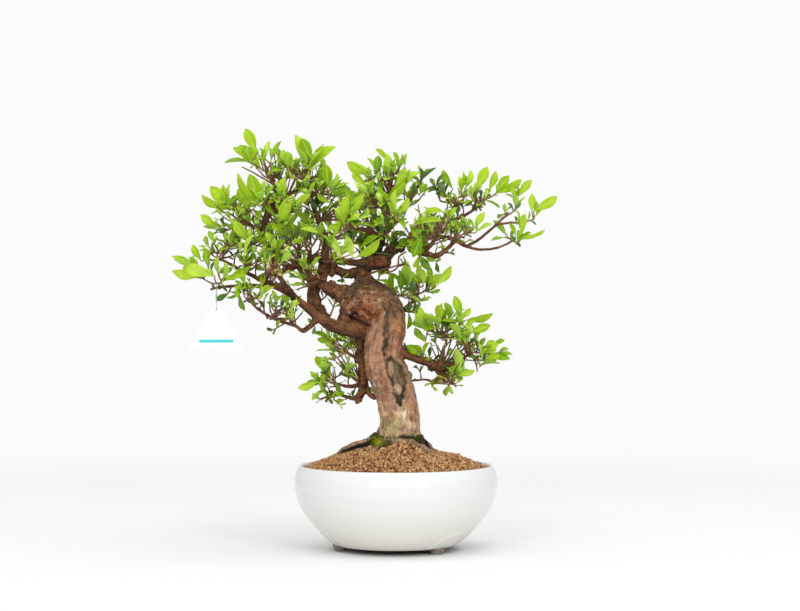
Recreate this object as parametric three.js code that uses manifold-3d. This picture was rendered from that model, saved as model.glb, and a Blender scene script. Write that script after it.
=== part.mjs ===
// Satsuki azalea bonsai in a round glazed bowl, in millimetres, +Z up.
// The front of the tree faces -Y. While it is modelled, the bowl's axis is the Z axis and the feet
// stand on Z = 0; the last lines move the group so that its origin is the middle of its footprint.
import * as THREE from "three";
import { mergeVertices } from "three/addons/utils/BufferGeometryUtils.js";
import Module from "manifold-3d";

const wasm = await Module();
wasm.setup();

// ---- driving dimensions -------------------------------------------------------------------------

const GAP = 0.3; // clearance between pieces that touch
const WELD = 1e-4; // corners nearer than this are one corner
const BEYOND = 300; // a length past every piece, for cutters

const BOWL = {
  underside: 4.5,
  floor: 11,
  sides: 36,
  footAngles: [-45, 75, 195],
  drainRadius: 12,
};
// Outer and inner wall as [radius, height], from the underside up to the lip and back down.
const BOWL_OUTER = [
  [56, 4.5], [67.9, 9.5], [85.5, 27], [97.2, 44], [100.9, 60], [100.4, 70], [97.6, 80.5], [95.6, 82],
];
const BOWL_INNER = [[93.7, 80.8], [94.6, 68], [94, 53], [84, 34], [56, 11]];
const FOOT = { thick: 7.5, half: 15, reach: 17, lean: 44, radius: 63.5, height: 10 };

const SOIL = { rim: 79.5, rise: 25, power: 1.8, rings: 6, grain: 1.2 };
const SCREEN = { side: 34, thick: 1.2, holes: 2, hole: 11, pitch: 15 };

const TRUNK_SIDES = 18;
const CLEFT = { angle: 4.78, wide: 0.22, deep: 0.14 }; // the long furrow down the trunk's front

const TWIG = { stem: 1.5, end: 1.1, hub: 1.35 }; // radii of a spray's wood
// Where a spray forks between its seat and its rosettes, and how its twigs bow. reach, aside,
// asideStep and stem are shares of the stem's span, bow and sag of a twig's length.
const FORK = {
  reach: 0.52, clear: 4, aside: 0.08, asideStep: 0.035, turnStep: 0.8, stem: [0.35, 0.65],
  lead: 0.4, bow: 0.12, sag: 0.1, steps: 4, guard: 1.1,
};
// aspect is half a blade's width, rib its thickness, cup its curl and ball its clearance.
const LEAF = {
  length: 27, least: 0.72, spread: 0.42, aspect: 0.205, rib: 0.8, cup: 0.18, ball: 2, overlap: 0.35,
  droop: [0.05, 0.17], swing: 24, tilt: 18, turnStep: 2.5, leanStep: 5, lowLean: 60, lowSize: 0.88,
  shortFrom: 5, short: 0.75,
};
// Where a blade's two stations lie, as [share of the length, share of the full half width].
const LEAF_STATIONS = [[0.3, 0.55], [0.68, 1]];
// The seven shoots that a hub can bear: its face, and the shoot's turn and lean from the axis.
const SHOOTS = [
  { turn: 120, lean: 26 }, { turn: 240, lean: 34 }, { turn: 0, lean: 43 },
  { turn: 60, lean: 66 }, { turn: 180, lean: 74 }, { turn: 300, lean: 84 }, { turn: 0, lean: 5 },
];

// A rosette looks partly along its twig and partly up.
const ROSETTE = { along: 0.55, up: 0.7, fewest: 4, more: 1.9 };

const TAG = { width: 57, height: 49, thick: 1, corner: 4, eye: 1.9, x: -177.5, y: -23, top: 248.5 };
const WIRE = { radius: 0.45, over: 263.6, leg: 2.3, waist: 0.95, waistTop: 256, waistLow: 247 };

// ---- the tree's wood: paths of [x, y, z, radius] ------------------------------------------------

const TRUNK = [
  [6, 2, 74, 12], [5, 1, 92, 22], [3, 0, 104, 26], [3, 0, 113, 23.5], [4, 0, 122, 20.3],
  [3, 0, 136, 19.6], [0, 0, 150, 19.8], [-4.7, -1, 164, 19.4], [-9.4, -2, 177.5, 20],
  [-12.8, -3, 191, 18.8], [-12.5, -4, 204, 18.5], [-9.5, -3, 218, 19.3], [-9, 0, 231, 19],
  [-13, 3, 243, 17], [-17, 5, 253, 12.5],
];
// The old swelling that the trunk turns into at its top.
const KNUCKLE = [
  [4, 3, 236, 9], [-5, 4, 239, 16.5], [-16, 5, 244, 20], [-28, 6, 249, 21.4], [-37, 5, 250, 19.6],
  [-44, 4, 249.5, 14],
];

const ROOTS = {
  root_left: [
    [-10, 3, 112, 11], [-27, 4, 106, 8], [-40, 4, 103, 6.2], [-50, 3, 98.5, 5], [-59, 2, 92, 3.6],
    [-66, 1, 84, 2.2],
  ],
  root_right: [[14, 4, 112, 10], [25, 5, 104, 6.5], [32, 6, 97, 4.6], [40, 7, 87, 2.6]],
  root_front_right: [[10, -9, 111, 8], [21, -16, 103, 5], [31, -21, 96, 3.8], [40, -26, 86, 2.2]],
  root_front_left: [[-6, -10, 108, 8], [-17, -20, 101, 5], [-25, -28, 95, 3.4], [-32, -36, 86, 2.2]],
  root_back_left: [[-8, 13, 108, 9], [-20, 26, 101, 6], [-30, 36, 94, 4], [-38, 44, 84, 2.4]],
  root_back_right: [[9, 15, 108, 8], [18, 30, 101, 5.5], [24, 42, 93, 3.6], [29, 51, 83, 2.2]],
};

const LIMBS = {
  neck: [
    [-34, 6, 258, 11], [-35, 8, 272, 6.6], [-32, 8, 281, 6.2], [-25, 6, 286, 7.4], [-15, 4, 287, 8.6],
    [-7, 2, 286, 6.4],
  ],
  crown: [
    [-22, 6, 287, 6.5], [-18, 8, 301, 5], [-13, 10, 316, 4], [-10, 8, 332, 3.2], [-7, 5, 348, 2.4],
    [-5, 2, 362, 1.8],
  ],
  right: [
    [-13, 3, 289, 6.2], [-2, 1, 299, 5.2], [8, -1, 305, 4.8], [17, -2, 309, 4.4], [32, 0, 312, 3.3],
    [46, 2, 312, 2.7], [57, 3, 310, 2.4], [64, 3, 306, 2.2], [72, 3, 302, 2],
  ],
  right_up: [
    [70, 3, 302.5, 1.7], [82, 4, 309, 1.5], [92, 5, 317, 1.4], [101, 6, 325, 1.3], [106, 6, 330, 1.2],
  ],
  right_out: [
    [70, 3, 303, 1.6], [80, 1, 300, 1.4], [91, 0, 299.5, 1.3], [102, -1, 301.5, 1.2],
    [112, -2, 305.5, 1.1],
  ],
  right_low: [
    [15, -2, 307, 4.2], [22, -2, 299, 3.7], [31, -3, 295, 3.3], [40, -4, 293, 2.9], [50, -5, 299, 2.3],
    [58, -6, 307, 1.8],
  ],
  right_high: [
    [12, -1, 307, 4.2], [21, 3, 320, 3.5], [32, 6, 326, 3.1], [44, 8, 328, 2.7], [53, 8, 335, 2],
    [60, 8, 345, 1.5],
  ],
  right_shelf: [
    [42, 8, 328, 2.3], [56, 10, 329, 1.9], [67, 10, 333, 1.6], [77, 10, 339, 1.4], [83, 10, 344, 1.2],
  ],
  low_left: [
    [-14, 2, 212, 9], [-31, 0, 217, 7.6], [-49, -4, 219.5, 6.8], [-62.5, -8, 223, 6.5],
    [-75, -11, 230.4, 6], [-87, -13, 240, 5.5], [-99, -15, 250, 5], [-110, -16, 258, 4.4],
    [-121.5, -17, 263.5, 4], [-132, -18, 268, 3.3], [-142, -19, 273, 2.8], [-154, -20, 279, 2.3],
    [-164, -20, 284.5, 1.9], [-173, -20, 289, 1.6],
  ],
  tag_twig: [
    [-121, -17, 263.3, 2.8], [-132, -20, 262, 2.3], [-143, -22, 263.5, 2], [-154, -23, 263, 1.8],
    [-163, -23, 262.5, 1.5], [-171, -23, 262, 1.4], [-177.5, -23, 261, 1.3], [-183, -23, 259.5, 1.2],
  ],
  under_left: [
    [-79, -12, 231, 4], [-84, -13, 224, 2.8], [-92.5, -15, 218.6, 2.4], [-101, -18, 224, 1.7],
    [-114, -22, 227.5, 1.5], [-125, -25, 233, 1.4], [-136, -27, 240, 1.3], [-143, -28, 247, 1.2],
  ],
  left_riser: [
    [-70, -7, 230, 6.4], [-80, 4, 240, 6.3], [-83, 10, 252, 6], [-81, 14, 264, 5.5],
    [-75, 16, 277, 5.2], [-72, 16, 290, 4.8], [-71, 15, 302, 4.3], [-73, 14, 314, 3.7],
    [-78, 12, 330, 3], [-84, 10, 346, 2.3], [-86, 8, 360, 1.7],
  ],
  twisted: [
    [-46, 1, 250, 7], [-60, -3, 254.5, 5.2], [-70.5, -4, 261, 4.8], [-75.5, -3, 270, 4.8],
    [-72, 0, 279, 5], [-64, 4, 284.5, 4.6],
  ],
  cross_left: [
    [-34, 8, 279, 5.6], [-47, 9, 275.5, 4.7], [-57, 8, 277.5, 4.7], [-66, 7, 285, 4.4],
    [-75, 5, 290.5, 4.1], [-86, 3, 289.5, 3.8], [-98, 0, 284, 3.4], [-109, -3, 279, 3],
    [-118, -4, 275.5, 2.6], [-129, -6, 275, 2],
  ],
  crown_left: [
    [-105, -2, 281, 3.3], [-117, 0, 289, 3], [-127, 2, 298, 2.8], [-133, 3, 309, 2.6],
    [-133, 4, 323, 2.4], [-127, 5, 334, 2.3], [-122, 5, 344, 2.1], [-121, 5, 356, 1.9],
    [-123, 4, 367, 1.6],
  ],
  crown_branch: [
    [-126, 5, 335, 2.2], [-115, 4, 343, 2], [-107, 3, 354, 1.8], [-98, 2, 361, 1.6], [-90, 0, 368, 1.3],
  ],
  left_arm: [[-133, 4, 318, 2.1], [-142, 2, 322, 1.7], [-151, -1, 328, 1.5], [-158, -3, 333, 1.2]],
  back_mid: [
    [-18, 9, 303, 3.8], [-20, 25, 312, 3.1], [-26, 44, 321, 2.4], [-30, 60, 331, 1.8],
    [-29, 70, 340, 1.4],
  ],
  front_mid: [[-15, 9, 308, 3.4], [-22, -8, 315, 2.8], [-30, -24, 318, 2.2], [-38, -40, 319, 1.6]],
  back_left: [
    [-81, 13, 262, 4.4], [-92, 31, 275, 3.4], [-104, 49, 287, 2.7], [-115, 64, 297, 2],
    [-122, 74, 304, 1.5],
  ],
  back_right: [
    [10, 0, 306, 3.9], [21, 19, 311, 3], [35, 38, 316, 2.4], [49, 53, 321, 1.8], [58, 62, 328, 1.4],
  ],
  front_right: [[28, -3, 296.5, 3], [33, -20, 302, 2.3], [39, -36, 309, 1.8], [43, -46, 316, 1.4]],
  front_left: [
    [-101, -15, 251.5, 3.8], [-108, -32, 262, 2.8], [-114, -48, 272, 2.1], [-118, -58, 279, 1.5],
  ],
  middle_right: [[-6, 6, 236, 5], [7, 11, 239, 2.8], [14, 12, 245, 2], [19, 11, 250, 1.5]],
  low_right: [
    [-8, -1, 199, 6], [3, -1, 197.5, 5], [16, -3, 192, 4.2], [30, -5, 187, 4.2], [40, -6, 183.5, 5.4],
    [46, -6, 176, 4.8], [50, -6, 169, 3.2],
  ],
  low_right_up: [[42, -6, 182, 3.2], [45, -6, 193, 2.4], [49, -5, 204, 1.9], [51, -4, 211, 1.5]],
  low_right_out: [[45, -6, 179, 3], [54, -7, 183, 2.1], [64, -7, 189, 1.7], [72, -7, 194, 1.3]],
  low_right_tie: [
    [45, -6, 173, 2.6], [36, -5, 168, 1.4], [30, -3, 169.5, 1.1], [14, 2, 168, 1], [0, 4, 167, 1],
  ],
  drop: [
    [-30, 3, 218, 7], [-35.5, 8, 206, 5], [-34, 12, 187, 4.8], [-33, 14, 172, 4.8],
    [-32.5, 14, 163, 4.8], [-36, 14, 153, 4], [-39.5, 13, 146, 2.6],
  ],
  drop_stub: [[-32, 14, 163, 4], [-26, 14, 154, 2.8], [-21, 14, 150, 2.2]],
  drop_side: [[-33, 14, 165, 3.2], [-42, 12, 162.5, 2.2], [-50, 9, 162.5, 1.8], [-60, 7, 165, 1.4]],
  drop_low: [[-37, 14, 152, 3], [-44, 12, 150, 2], [-55, 9, 153.5, 1.6], [-64, 6, 156, 1.3]],
  drop_high: [[-34.5, 11, 192, 3], [-42, 10, 192, 1.9], [-50, 8, 197, 1.5]],
};

// ---- the leafy sprays: the limb that each grows from, and where its rosettes sit ----------------

const SPRAYS = [
  ["crown_left", [-144, -8, 386], [-126, 8, 386]],
  ["crown_left", [-104, 22, 379], [-118, 34, 371]],
  ["crown_branch", [-107, -5, 379], [-89, -3, 379]],
  ["crown_branch", [-80, 9, 366], [-92, 25, 364]],
  ["left_riser", [-67, -10, 356], [-86, -14, 349]],
  ["left_riser", [-74, 22, 376], [-62, 34, 362]],
  ["left_riser", [-53, 4, 335], [-45, -5, 346]],
  ["left_arm", [-165, -6, 340], [-150, -3, 340]],
  ["left_arm", [-174, -9, 317], [-160, -16, 318]],
  ["crown_left", [-131, -24, 345], [-117, -24, 348]],
  ["crown_left", [-115, -30, 324], [-100, -26, 337]],
  ["crown_left", [-145, -22, 305], [-158, -12, 302]],
  ["crown_left", [-146, 28, 322], [-134, 43, 334]],
  ["low_left", [-182, -24, 296], [-170, -8, 304]],
  ["tag_twig", [-193, -32, 272], [-170, -46, 266]],
  ["low_left", [-133, -42, 288], [-148, -50, 289]],
  ["low_left", [-121, -50, 300], [-109, -53, 288]],
  ["under_left", [-134, -46, 250], [-147, -42, 260]],
  ["under_left", [-106, -40, 236], [-118, -42, 244]],
  ["cross_left", [-92, -25, 308], [-76, -28, 312]],
  ["cross_left", [-96, 16, 306], [-110, 22, 312]],
  ["cross_left", [-54, -43, 290], [-64, -37, 302]],
  ["left_riser", [-90, 43, 326], [-104, 53, 318]],
  ["left_riser", [-58, 43, 318], [-50, 31, 330]],
  ["twisted", [-84, -34, 280], [-92, -37, 268]],
  ["crown", [-8, -6, 371], [1, 5, 377]],
  ["crown", [-28, -9, 368], [-18, 12, 373]],
  ["crown", [-14, -25, 345], [-30, -22, 351]],
  ["crown", [2, -34, 327], [-12, -40, 322]],
  ["crown", [14, 19, 352], [24, 9, 368]],
  ["crown", [-34, 40, 346], [-20, 46, 354]],
  ["front_mid", [-50, -56, 322], [-44, -50, 325], [-35, -49, 323]],
  ["back_mid", [-30, 78, 350], [-44, 62, 342]],
  ["back_mid", [-12, 58, 340], [-14, 44, 332]],
  ["back_left", [-128, 80, 314], [-114, 84, 310]],
  ["back_left", [-132, 52, 314], [-98, 62, 308]],
  ["back_right", [64, 70, 338], [50, 72, 332]],
  ["back_right", [38, 50, 334], [54, 44, 328]],
  ["front_right", [48, -54, 325], [38, -52, 322]],
  ["front_right", [26, -56, 318], [30, -19, 322]],
  ["front_left", [-122, -66, 288], [-112, -66, 284]],
  ["right_high", [66, 12, 354], [53, 0, 350], [44, 19, 356]],
  ["right_shelf", [88, 16, 350], [78, 6, 349]],
  ["right_up", [110, 9, 336], [120, 12, 340]],
  ["right_up", [138, 4, 330], [122, -12, 326]],
  ["right_out", [120, -7, 306], [112, 12, 312]],
  ["right_low", [70, -12, 317], [60, -16, 319]],
  ["middle_right", [1, 25, 254], [13, 31, 260], [23, 9, 262], [31, 16, 259]],
  ["low_right_up", [31, -9, 218], [43, -16, 221], [53, 5, 226], [62, -14, 224], [40, 15, 213]],
  ["low_right_out", [66, -18, 208], [85, -11, 196], [84, -20, 184], [73, 10, 205]],
  ["low_right", [60, -12, 172], [52, -7, 164]],
  ["drop_high", [-65, 8, 207], [-57, 12, 196], [-45, 17, 206]],
  ["drop_side", [-69, 6, 173], [-76, 3, 166], [-52, 6, 176]],
  ["drop_low", [-73, 6, 161], [-66, -6, 150]],
];

// ---- small helpers ------------------------------------------------------------------------------

const UP = new THREE.Vector3(0, 0, 1);
const vec = (p) => new THREE.Vector3(p[0], p[1], p[2]);
const mix = (a, b, t) => a + (b - a) * t;
const radians = THREE.MathUtils.degToRad;
const middle = (points) =>
  points.reduce((sum, p) => sum.add(p), new THREE.Vector3()).divideScalar(points.length);

// A seeded draw that gives the same numbers on every machine.
function draws(seed) {
  let state = seed;
  return () => {
    state = (state * 48271) % 2147483647;
    return state / 2147483647;
  };
}

// Points and radii along a smooth curve through a path's own points.
function smooth(path, stepsEach) {
  const curve = new THREE.CatmullRomCurve3(path.map(vec), false, "catmullrom", 0.5);
  const steps = (path.length - 1) * stepsEach;
  return Array.from({ length: steps + 1 }, (_, i) => {
    const at = (i / steps) * (path.length - 1);
    const k = Math.min(Math.floor(at), path.length - 2);
    return { p: curve.getPoint(i / steps), r: mix(path[k][3], path[k + 1][3], at - k) };
  });
}

// A shell of triangles that is closed once every ring of it is joined or capped.
class Shell {
  positions = [];

  triangle(a, b, c) {
    this.positions.push(...a.toArray(), ...b.toArray(), ...c.toArray());
  }

  // A flat end. The ring turns anticlockwise seen from outside.
  cap(ring) {
    for (let j = 1; j + 1 < ring.length; j++) this.triangle(ring[0], ring[j], ring[j + 1]);
  }

  // The wall between two rings that turn anticlockwise seen from b's side.
  wall(a, b) {
    a.forEach((_, j) => {
      const next = (j + 1) % a.length;
      this.triangle(a[j], a[next], b[next]);
      this.triangle(a[j], b[next], b[j]);
    });
  }

  // A ring drawn in to a point.
  point(ring, tip) {
    ring.forEach((p, j) => this.triangle(p, ring[(j + 1) % ring.length], tip));
  }

  geometry() {
    const geometry = new THREE.BufferGeometry();
    return geometry.setAttribute("position", new THREE.Float32BufferAttribute(this.positions, 3));
  }
}

function loft(rings) {
  const shell = new Shell();
  shell.cap(rings[0].toReversed());
  rings.slice(1).forEach((ring, i) => shell.wall(rings[i], ring));
  shell.cap(rings.at(-1));
  return shell.geometry();
}

// Round sections along a run of {p, r}, kept from twisting. swell(angle, share) scales a radius.
function sections(run, sides, swell = () => 1) {
  let side = new THREE.Vector3(1, 0, 0);
  return run.map(({ p, r }, i) => {
    const ahead = run[Math.min(i + 1, run.length - 1)].p.clone().sub(run[Math.max(i - 1, 0)].p);
    ahead.normalize();
    if (i === 0 && Math.abs(ahead.x) > 0.9) side.set(0, 1, 0);
    side = side.clone().addScaledVector(ahead, -side.dot(ahead)).normalize();
    const other = ahead.clone().cross(side);
    return Array.from({ length: sides }, (_, j) => {
      const angle = (j / sides) * 2 * Math.PI;
      const radius = r * swell(angle, i / (run.length - 1));
      return p
        .clone()
        .addScaledVector(side, radius * Math.cos(angle))
        .addScaledVector(other, radius * Math.sin(angle));
    });
  });
}

const tube = (run, sides, swell) => loft(sections(run, sides, swell));

function solid(geometry) {
  const bare = geometry.index ? geometry.toNonIndexed() : geometry.clone();
  bare.deleteAttribute("normal");
  bare.deleteAttribute("uv");
  const merged = mergeVertices(bare, WELD);
  const mesh = new wasm.Mesh({
    numProp: 3,
    vertProperties: merged.attributes.position.array,
    triVerts: new Uint32Array(merged.index.array),
  });
  return new wasm.Manifold(mesh);
}

const joined = (solids) => solids.reduce((whole, next) => whole.add(next));

function geometryOf(manifold) {
  const { vertProperties, triVerts, numProp, numVert } = manifold.getMesh();
  const positions = new Float32Array(numVert * 3);
  for (let i = 0; i < numVert; i++) {
    positions.set(vertProperties.subarray(i * numProp, i * numProp + 3), i * 3);
  }
  const geometry = new THREE.BufferGeometry();
  geometry.setAttribute("position", new THREE.BufferAttribute(positions, 3));
  geometry.setIndex(new THREE.BufferAttribute(new Uint32Array(triVerts), 1));
  geometry.computeVertexNormals();
  return geometry;
}

// ---- clearance: balls that stand for everything placed so far -----------------------------------

const placed = [];

function place(owner, balls) {
  balls.forEach(({ p, r }) => placed.push({ owner, p, r }));
}

// Least free distance between the balls and everything placed, but for what ignores(owner) is true of.
function freeDistance(balls, ignores) {
  let least = Infinity;
  for (const other of placed) {
    if (ignores(other.owner)) continue;
    for (const ball of balls) {
      least = Math.min(least, ball.p.distanceTo(other.p) - ball.r - other.r);
    }
  }
  return least;
}

// ---- growth -------------------------------------------------------------------------------------

const BENDS = 9; // ways of bending a spray clear of its neighbours
const LEAF_TRIES = 9; // ways of turning a leaf clear of its neighbours
const SEAT_SPACING = 7; // least distance along a limb between two sprays
const TAKEN = 1e6; // a distance that rules a seat out

// The point of a limb that a spray grows from: its nearest one that no other spray has taken.
function seatOn(limb, target, taken) {
  const distances = limb.map(({ p }) => p.distanceTo(target));
  const far = (k) => (taken.every((p) => p.distanceTo(limb[k].p) > SEAT_SPACING) ? 0 : TAKEN);
  const scores = distances.map((distance, k) => distance + far(k));
  const k = scores.indexOf(Math.min(...scores));
  taken.push(limb[k].p);
  return { ...limb[k], inside: limb[Math.min(k, limb.length - 2)].p };
}

// A quadratic curve from a to b, as {p, r} that taper from ra to rb.
function bent(a, control, b, ra, rb, steps) {
  const curve = new THREE.QuadraticBezierCurve3(a, control, b);
  return Array.from({ length: steps + 1 }, (_, i) => ({
    p: curve.getPoint(i / steps),
    r: mix(ra, rb, i / steps),
  }));
}

function twigTo(fork, onward, tip) {
  const length = tip.distanceTo(fork);
  const control = fork
    .clone()
    .lerp(tip, FORK.lead)
    .addScaledVector(onward, FORK.bow * length)
    .addScaledVector(UP, -FORK.sag * length);
  return { control, run: bent(fork, control, tip, TWIG.stem, TWIG.end, FORK.steps) };
}

// Stem, fork and twigs of one spray. turn picks one of BENDS ways round its neighbours.
function branching(seat, tips, turn) {
  const target = middle(tips);
  const towards = target.clone().sub(seat.p);
  const span = towards.length();
  towards.normalize();
  const across = towards.clone().cross(Math.abs(towards.z) < 0.95 ? UP : new THREE.Vector3(0, 1, 0));
  across.normalize();
  const above = across.clone().cross(towards);
  const aside = turn === 0 ? 0 : span * (FORK.aside + FORK.asideStep * turn);
  const fork = seat.p
    .clone()
    .addScaledVector(towards, Math.max(FORK.reach * span, seat.r + FORK.clear))
    .addScaledVector(across, aside * Math.cos(FORK.turnStep * turn))
    .addScaledVector(above, aside * Math.sin(FORK.turnStep * turn));
  const onward = fork.clone().sub(seat.p).normalize();
  const twigs = tips.map((tip) => twigTo(fork, onward, tip));
  const stem = FORK.stem.map((share) => ({
    p: fork.clone().addScaledVector(onward, -share * (fork.distanceTo(seat.p) - seat.r)),
    r: TWIG.stem,
  }));
  const guard = (run) => run.map(({ p, r }) => ({ p, r: r + FORK.guard }));
  const balls = [guard(stem), ...twigs.map(({ run }) => guard(run))];
  return { seat, fork, onward, twigs, balls };
}

// A blade runs from its base along one direction and droops away from its upper face.
function bladePoint(leaf, share) {
  return leaf.base
    .clone()
    .addScaledVector(leaf.along, share * leaf.length)
    .addScaledVector(leaf.face, -leaf.droop * leaf.length * share * share);
}

function bladeBalls(leaf) {
  const edge = leaf.length * LEAF.aspect * 0.8;
  return [0.25, 0.4, 0.55, 0.7, 0.85, 1].flatMap((share) => {
    const p = bladePoint(leaf, share);
    const sides = share > 0.3 && share < 0.8 ? [-edge, 0, edge] : [0];
    return sides.map((s) => ({ p: p.clone().addScaledVector(leaf.across, s), r: LEAF.ball }));
  });
}

// Frame of a hub: its axis, and the two directions that its shoots turn through.
function hubFrame(p, axis, roll) {
  const x = axis.clone().cross(Math.abs(axis.z) < 0.9 ? UP : new THREE.Vector3(1, 0, 0)).normalize();
  x.applyAxisAngle(axis, roll);
  return { p, axis, x, y: axis.clone().cross(x) };
}

// A leaf of a hub's slot, turned a little more at each attempt.
function leafAt(hub, slot, { size, droop, swing, tilt }, attempt) {
  const { turn, lean } = SHOOTS[slot];
  const sign = attempt % 2 ? -1 : 1;
  const angle = radians(turn + swing + LEAF.turnStep * attempt * sign);
  const pitch = radians(lean + tilt - LEAF.leanStep * (attempt % 3) * sign);
  const blend = (some, a, others, b) => some.clone().multiplyScalar(a).addScaledVector(others, b);
  const outward = blend(hub.x, Math.cos(angle), hub.y, Math.sin(angle));
  const along = blend(hub.axis, Math.cos(pitch), outward, Math.sin(pitch));
  const face = blend(hub.axis, Math.sin(pitch), outward, -Math.cos(pitch));
  const base = hub.p.clone().addScaledVector(along, TWIG.hub * 0.6);
  const length = size * (attempt < LEAF.shortFrom ? 1 : LEAF.short);
  return { slot, base, along, face, across: face.clone().cross(along), length, droop };
}

// One leaf of a rosette, at the first attempt that is clear of every other spray.
function growLeaf(own, hub, slot, draw, leaves) {
  const low = SHOOTS[slot].lean > LEAF.lowLean;
  const size = LEAF.length * (LEAF.least + LEAF.spread * draw()) * (low ? LEAF.lowSize : 1);
  const droop = LEAF.droop[0] + LEAF.droop[1] * draw();
  const [swing, tilt] = [LEAF.swing * (draw() - 0.5), LEAF.tilt * (draw() - 0.5)];
  for (let attempt = 0; attempt < LEAF_TRIES; attempt++) {
    const leaf = leafAt(hub, slot, { size, droop, swing, tilt }, attempt);
    const balls = bladeBalls(leaf);
    const apart = leaves.every((other) => between(balls, other.balls) > -LEAF.ball * LEAF.overlap);
    if (apart && freeDistance(balls, (owner) => owner === own) > 0) return { ...leaf, balls };
  }
  return null;
}

// Free distance between two lists of balls.
function between(some, others) {
  const free = some.flatMap((a) => others.map((b) => a.p.distanceTo(b.p) - a.r - b.r));
  return Math.min(...free);
}

// A spray's wood, bent the first way that is clear or else the clearest way.
function growWood(owner, seat, tips) {
  let best = null;
  for (let turn = 0; turn < BENDS && !(best?.free > 0); turn++) {
    const wood = branching(seat, tips, turn);
    const free = freeDistance(wood.balls.flat(), () => false);
    if (!best || free > best.free) best = { ...wood, free };
  }
  best.balls.forEach((balls, i) => place(`${owner}.${i}`, balls));
  return { owner, ...best };
}

function growRosette(own, run, draw) {
  const end = run.at(-1);
  const ahead = end.p.clone().sub(run.at(-2).p).normalize();
  const axis = ahead.multiplyScalar(ROSETTE.along).addScaledVector(UP, ROSETTE.up).normalize();
  const hub = hubFrame(end.p, axis, 2 * Math.PI * draw());
  const count = ROSETTE.fewest + Math.floor(ROSETTE.more * draw());
  const leaves = [];
  for (let slot = 0; slot < count; slot++) {
    const leaf = growLeaf(own, hub, slot, draw, leaves);
    if (leaf) leaves.push(leaf);
  }
  leaves.forEach(({ balls }) => place(own, balls));
  return { hub, leaves };
}

// Every spray with its wood and then, once all wood stands, its leaves.
function growSprays(limbs) {
  const taken = Object.fromEntries(Object.keys(limbs).map((name) => [name, []]));
  const grown = SPRAYS.map(([limbName, ...tipPoints], k) => {
    const tips = tipPoints.map(vec);
    const seat = seatOn(limbs[limbName], middle(tips), taken[limbName]);
    return growWood(`spray_${String(k + 1).padStart(2, "0")}`, seat, tips);
  });
  grown.forEach((spray, k) => {
    const draw = draws(1000 + 37 * k);
    spray.rosettes = spray.twigs.map(({ run }, i) => growRosette(`${spray.owner}.${i + 1}`, run, draw));
  });
  return grown;
}

// ---- a spray's solid: three-sided wood and blades that meet in eight-sided hubs -------------------

// Corners of a hub: even ones on the rear triangle, odd ones on the front triangle.
function hubCorners({ p, axis, x, y }, radius) {
  return Array.from({ length: 6 }, (_, k) =>
    p
      .clone()
      .addScaledVector(axis, (k % 2 ? 0.7 : -0.7) * radius)
      .addScaledVector(x, radius * Math.cos((k * Math.PI) / 3))
      .addScaledVector(y, radius * Math.sin((k * Math.PI) / 3)),
  );
}

// A hub's faces in the order of SHOOTS. Each turns anticlockwise seen from outside.
function hubFaces(c) {
  return [
    [c[1], c[2], c[3]], [c[3], c[4], c[5]], [c[5], c[0], c[1]],
    [c[0], c[2], c[1]], [c[2], c[4], c[3]], [c[4], c[0], c[5]], [c[1], c[3], c[5]],
  ];
}

function growBlade(shell, face, leaf) {
  const flip = leaf.slot < 3 ? 1 : -1;
  const rings = LEAF_STATIONS.map(([share, width]) => {
    const centre = bladePoint(leaf, share);
    const half = leaf.length * LEAF.aspect * width;
    const edge = (side) =>
      centre
        .clone()
        .addScaledVector(leaf.across, side * half)
        .addScaledVector(leaf.face, flip * LEAF.cup * half);
    const rib = centre.clone().addScaledVector(leaf.face, -flip * LEAF.rib);
    return flip > 0 ? [edge(-1), rib, edge(1)] : [edge(-1), edge(1), rib];
  });
  shell.wall(face, rings[0]);
  shell.wall(rings[0], rings[1]);
  shell.point(rings[1], bladePoint(leaf, 1));
}

// Three-sided wood from one ring to another along a curve.
function growTwig(shell, from, to, control) {
  const [a, b] = [middle(from), middle(to)];
  const offset = (ring, centre, j) => ring[j % 3].clone().sub(centre);
  const apart = (j, k) => offset(from, a, j).distanceTo(offset(to, b, j + k));
  const twist = (k) => apart(0, k) + apart(1, k) + apart(2, k);
  const k = [0, 1, 2].reduce((best, next) => (twist(next) < twist(best) ? next : best));
  const end = [0, 1, 2].map((j) => to[(j + k) % 3]);
  const halfway = new THREE.QuadraticBezierCurve3(a, control, b).getPoint(0.5);
  const ring = [0, 1, 2].map((j) => {
    const lean = offset(from, a, j).add(offset(end, b, j));
    return halfway.clone().addScaledVector(lean.normalize(), TWIG.end * 1.2);
  });
  shell.wall(from, ring);
  shell.wall(ring, end);
}

// The flat start of a stem, a gap away from the wood that it grows from.
function stemStart(woodMesh, spray) {
  const inward = spray.seat.inside.clone().sub(spray.fork).normalize();
  const [hit] = new THREE.Raycaster(spray.fork, inward).intersectObject(woodMesh);
  const at = hit.point.clone().addScaledVector(hit.face.normal, GAP);
  const frame = hubFrame(at, hit.face.normal, 0);
  const ring = [0, 2, 4].map((k) =>
    at
      .clone()
      .addScaledVector(frame.x, TWIG.stem * Math.cos((k * Math.PI) / 3))
      .addScaledVector(frame.y, TWIG.stem * Math.sin((k * Math.PI) / 3)),
  );
  return { ring, normal: hit.face.normal };
}

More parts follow.
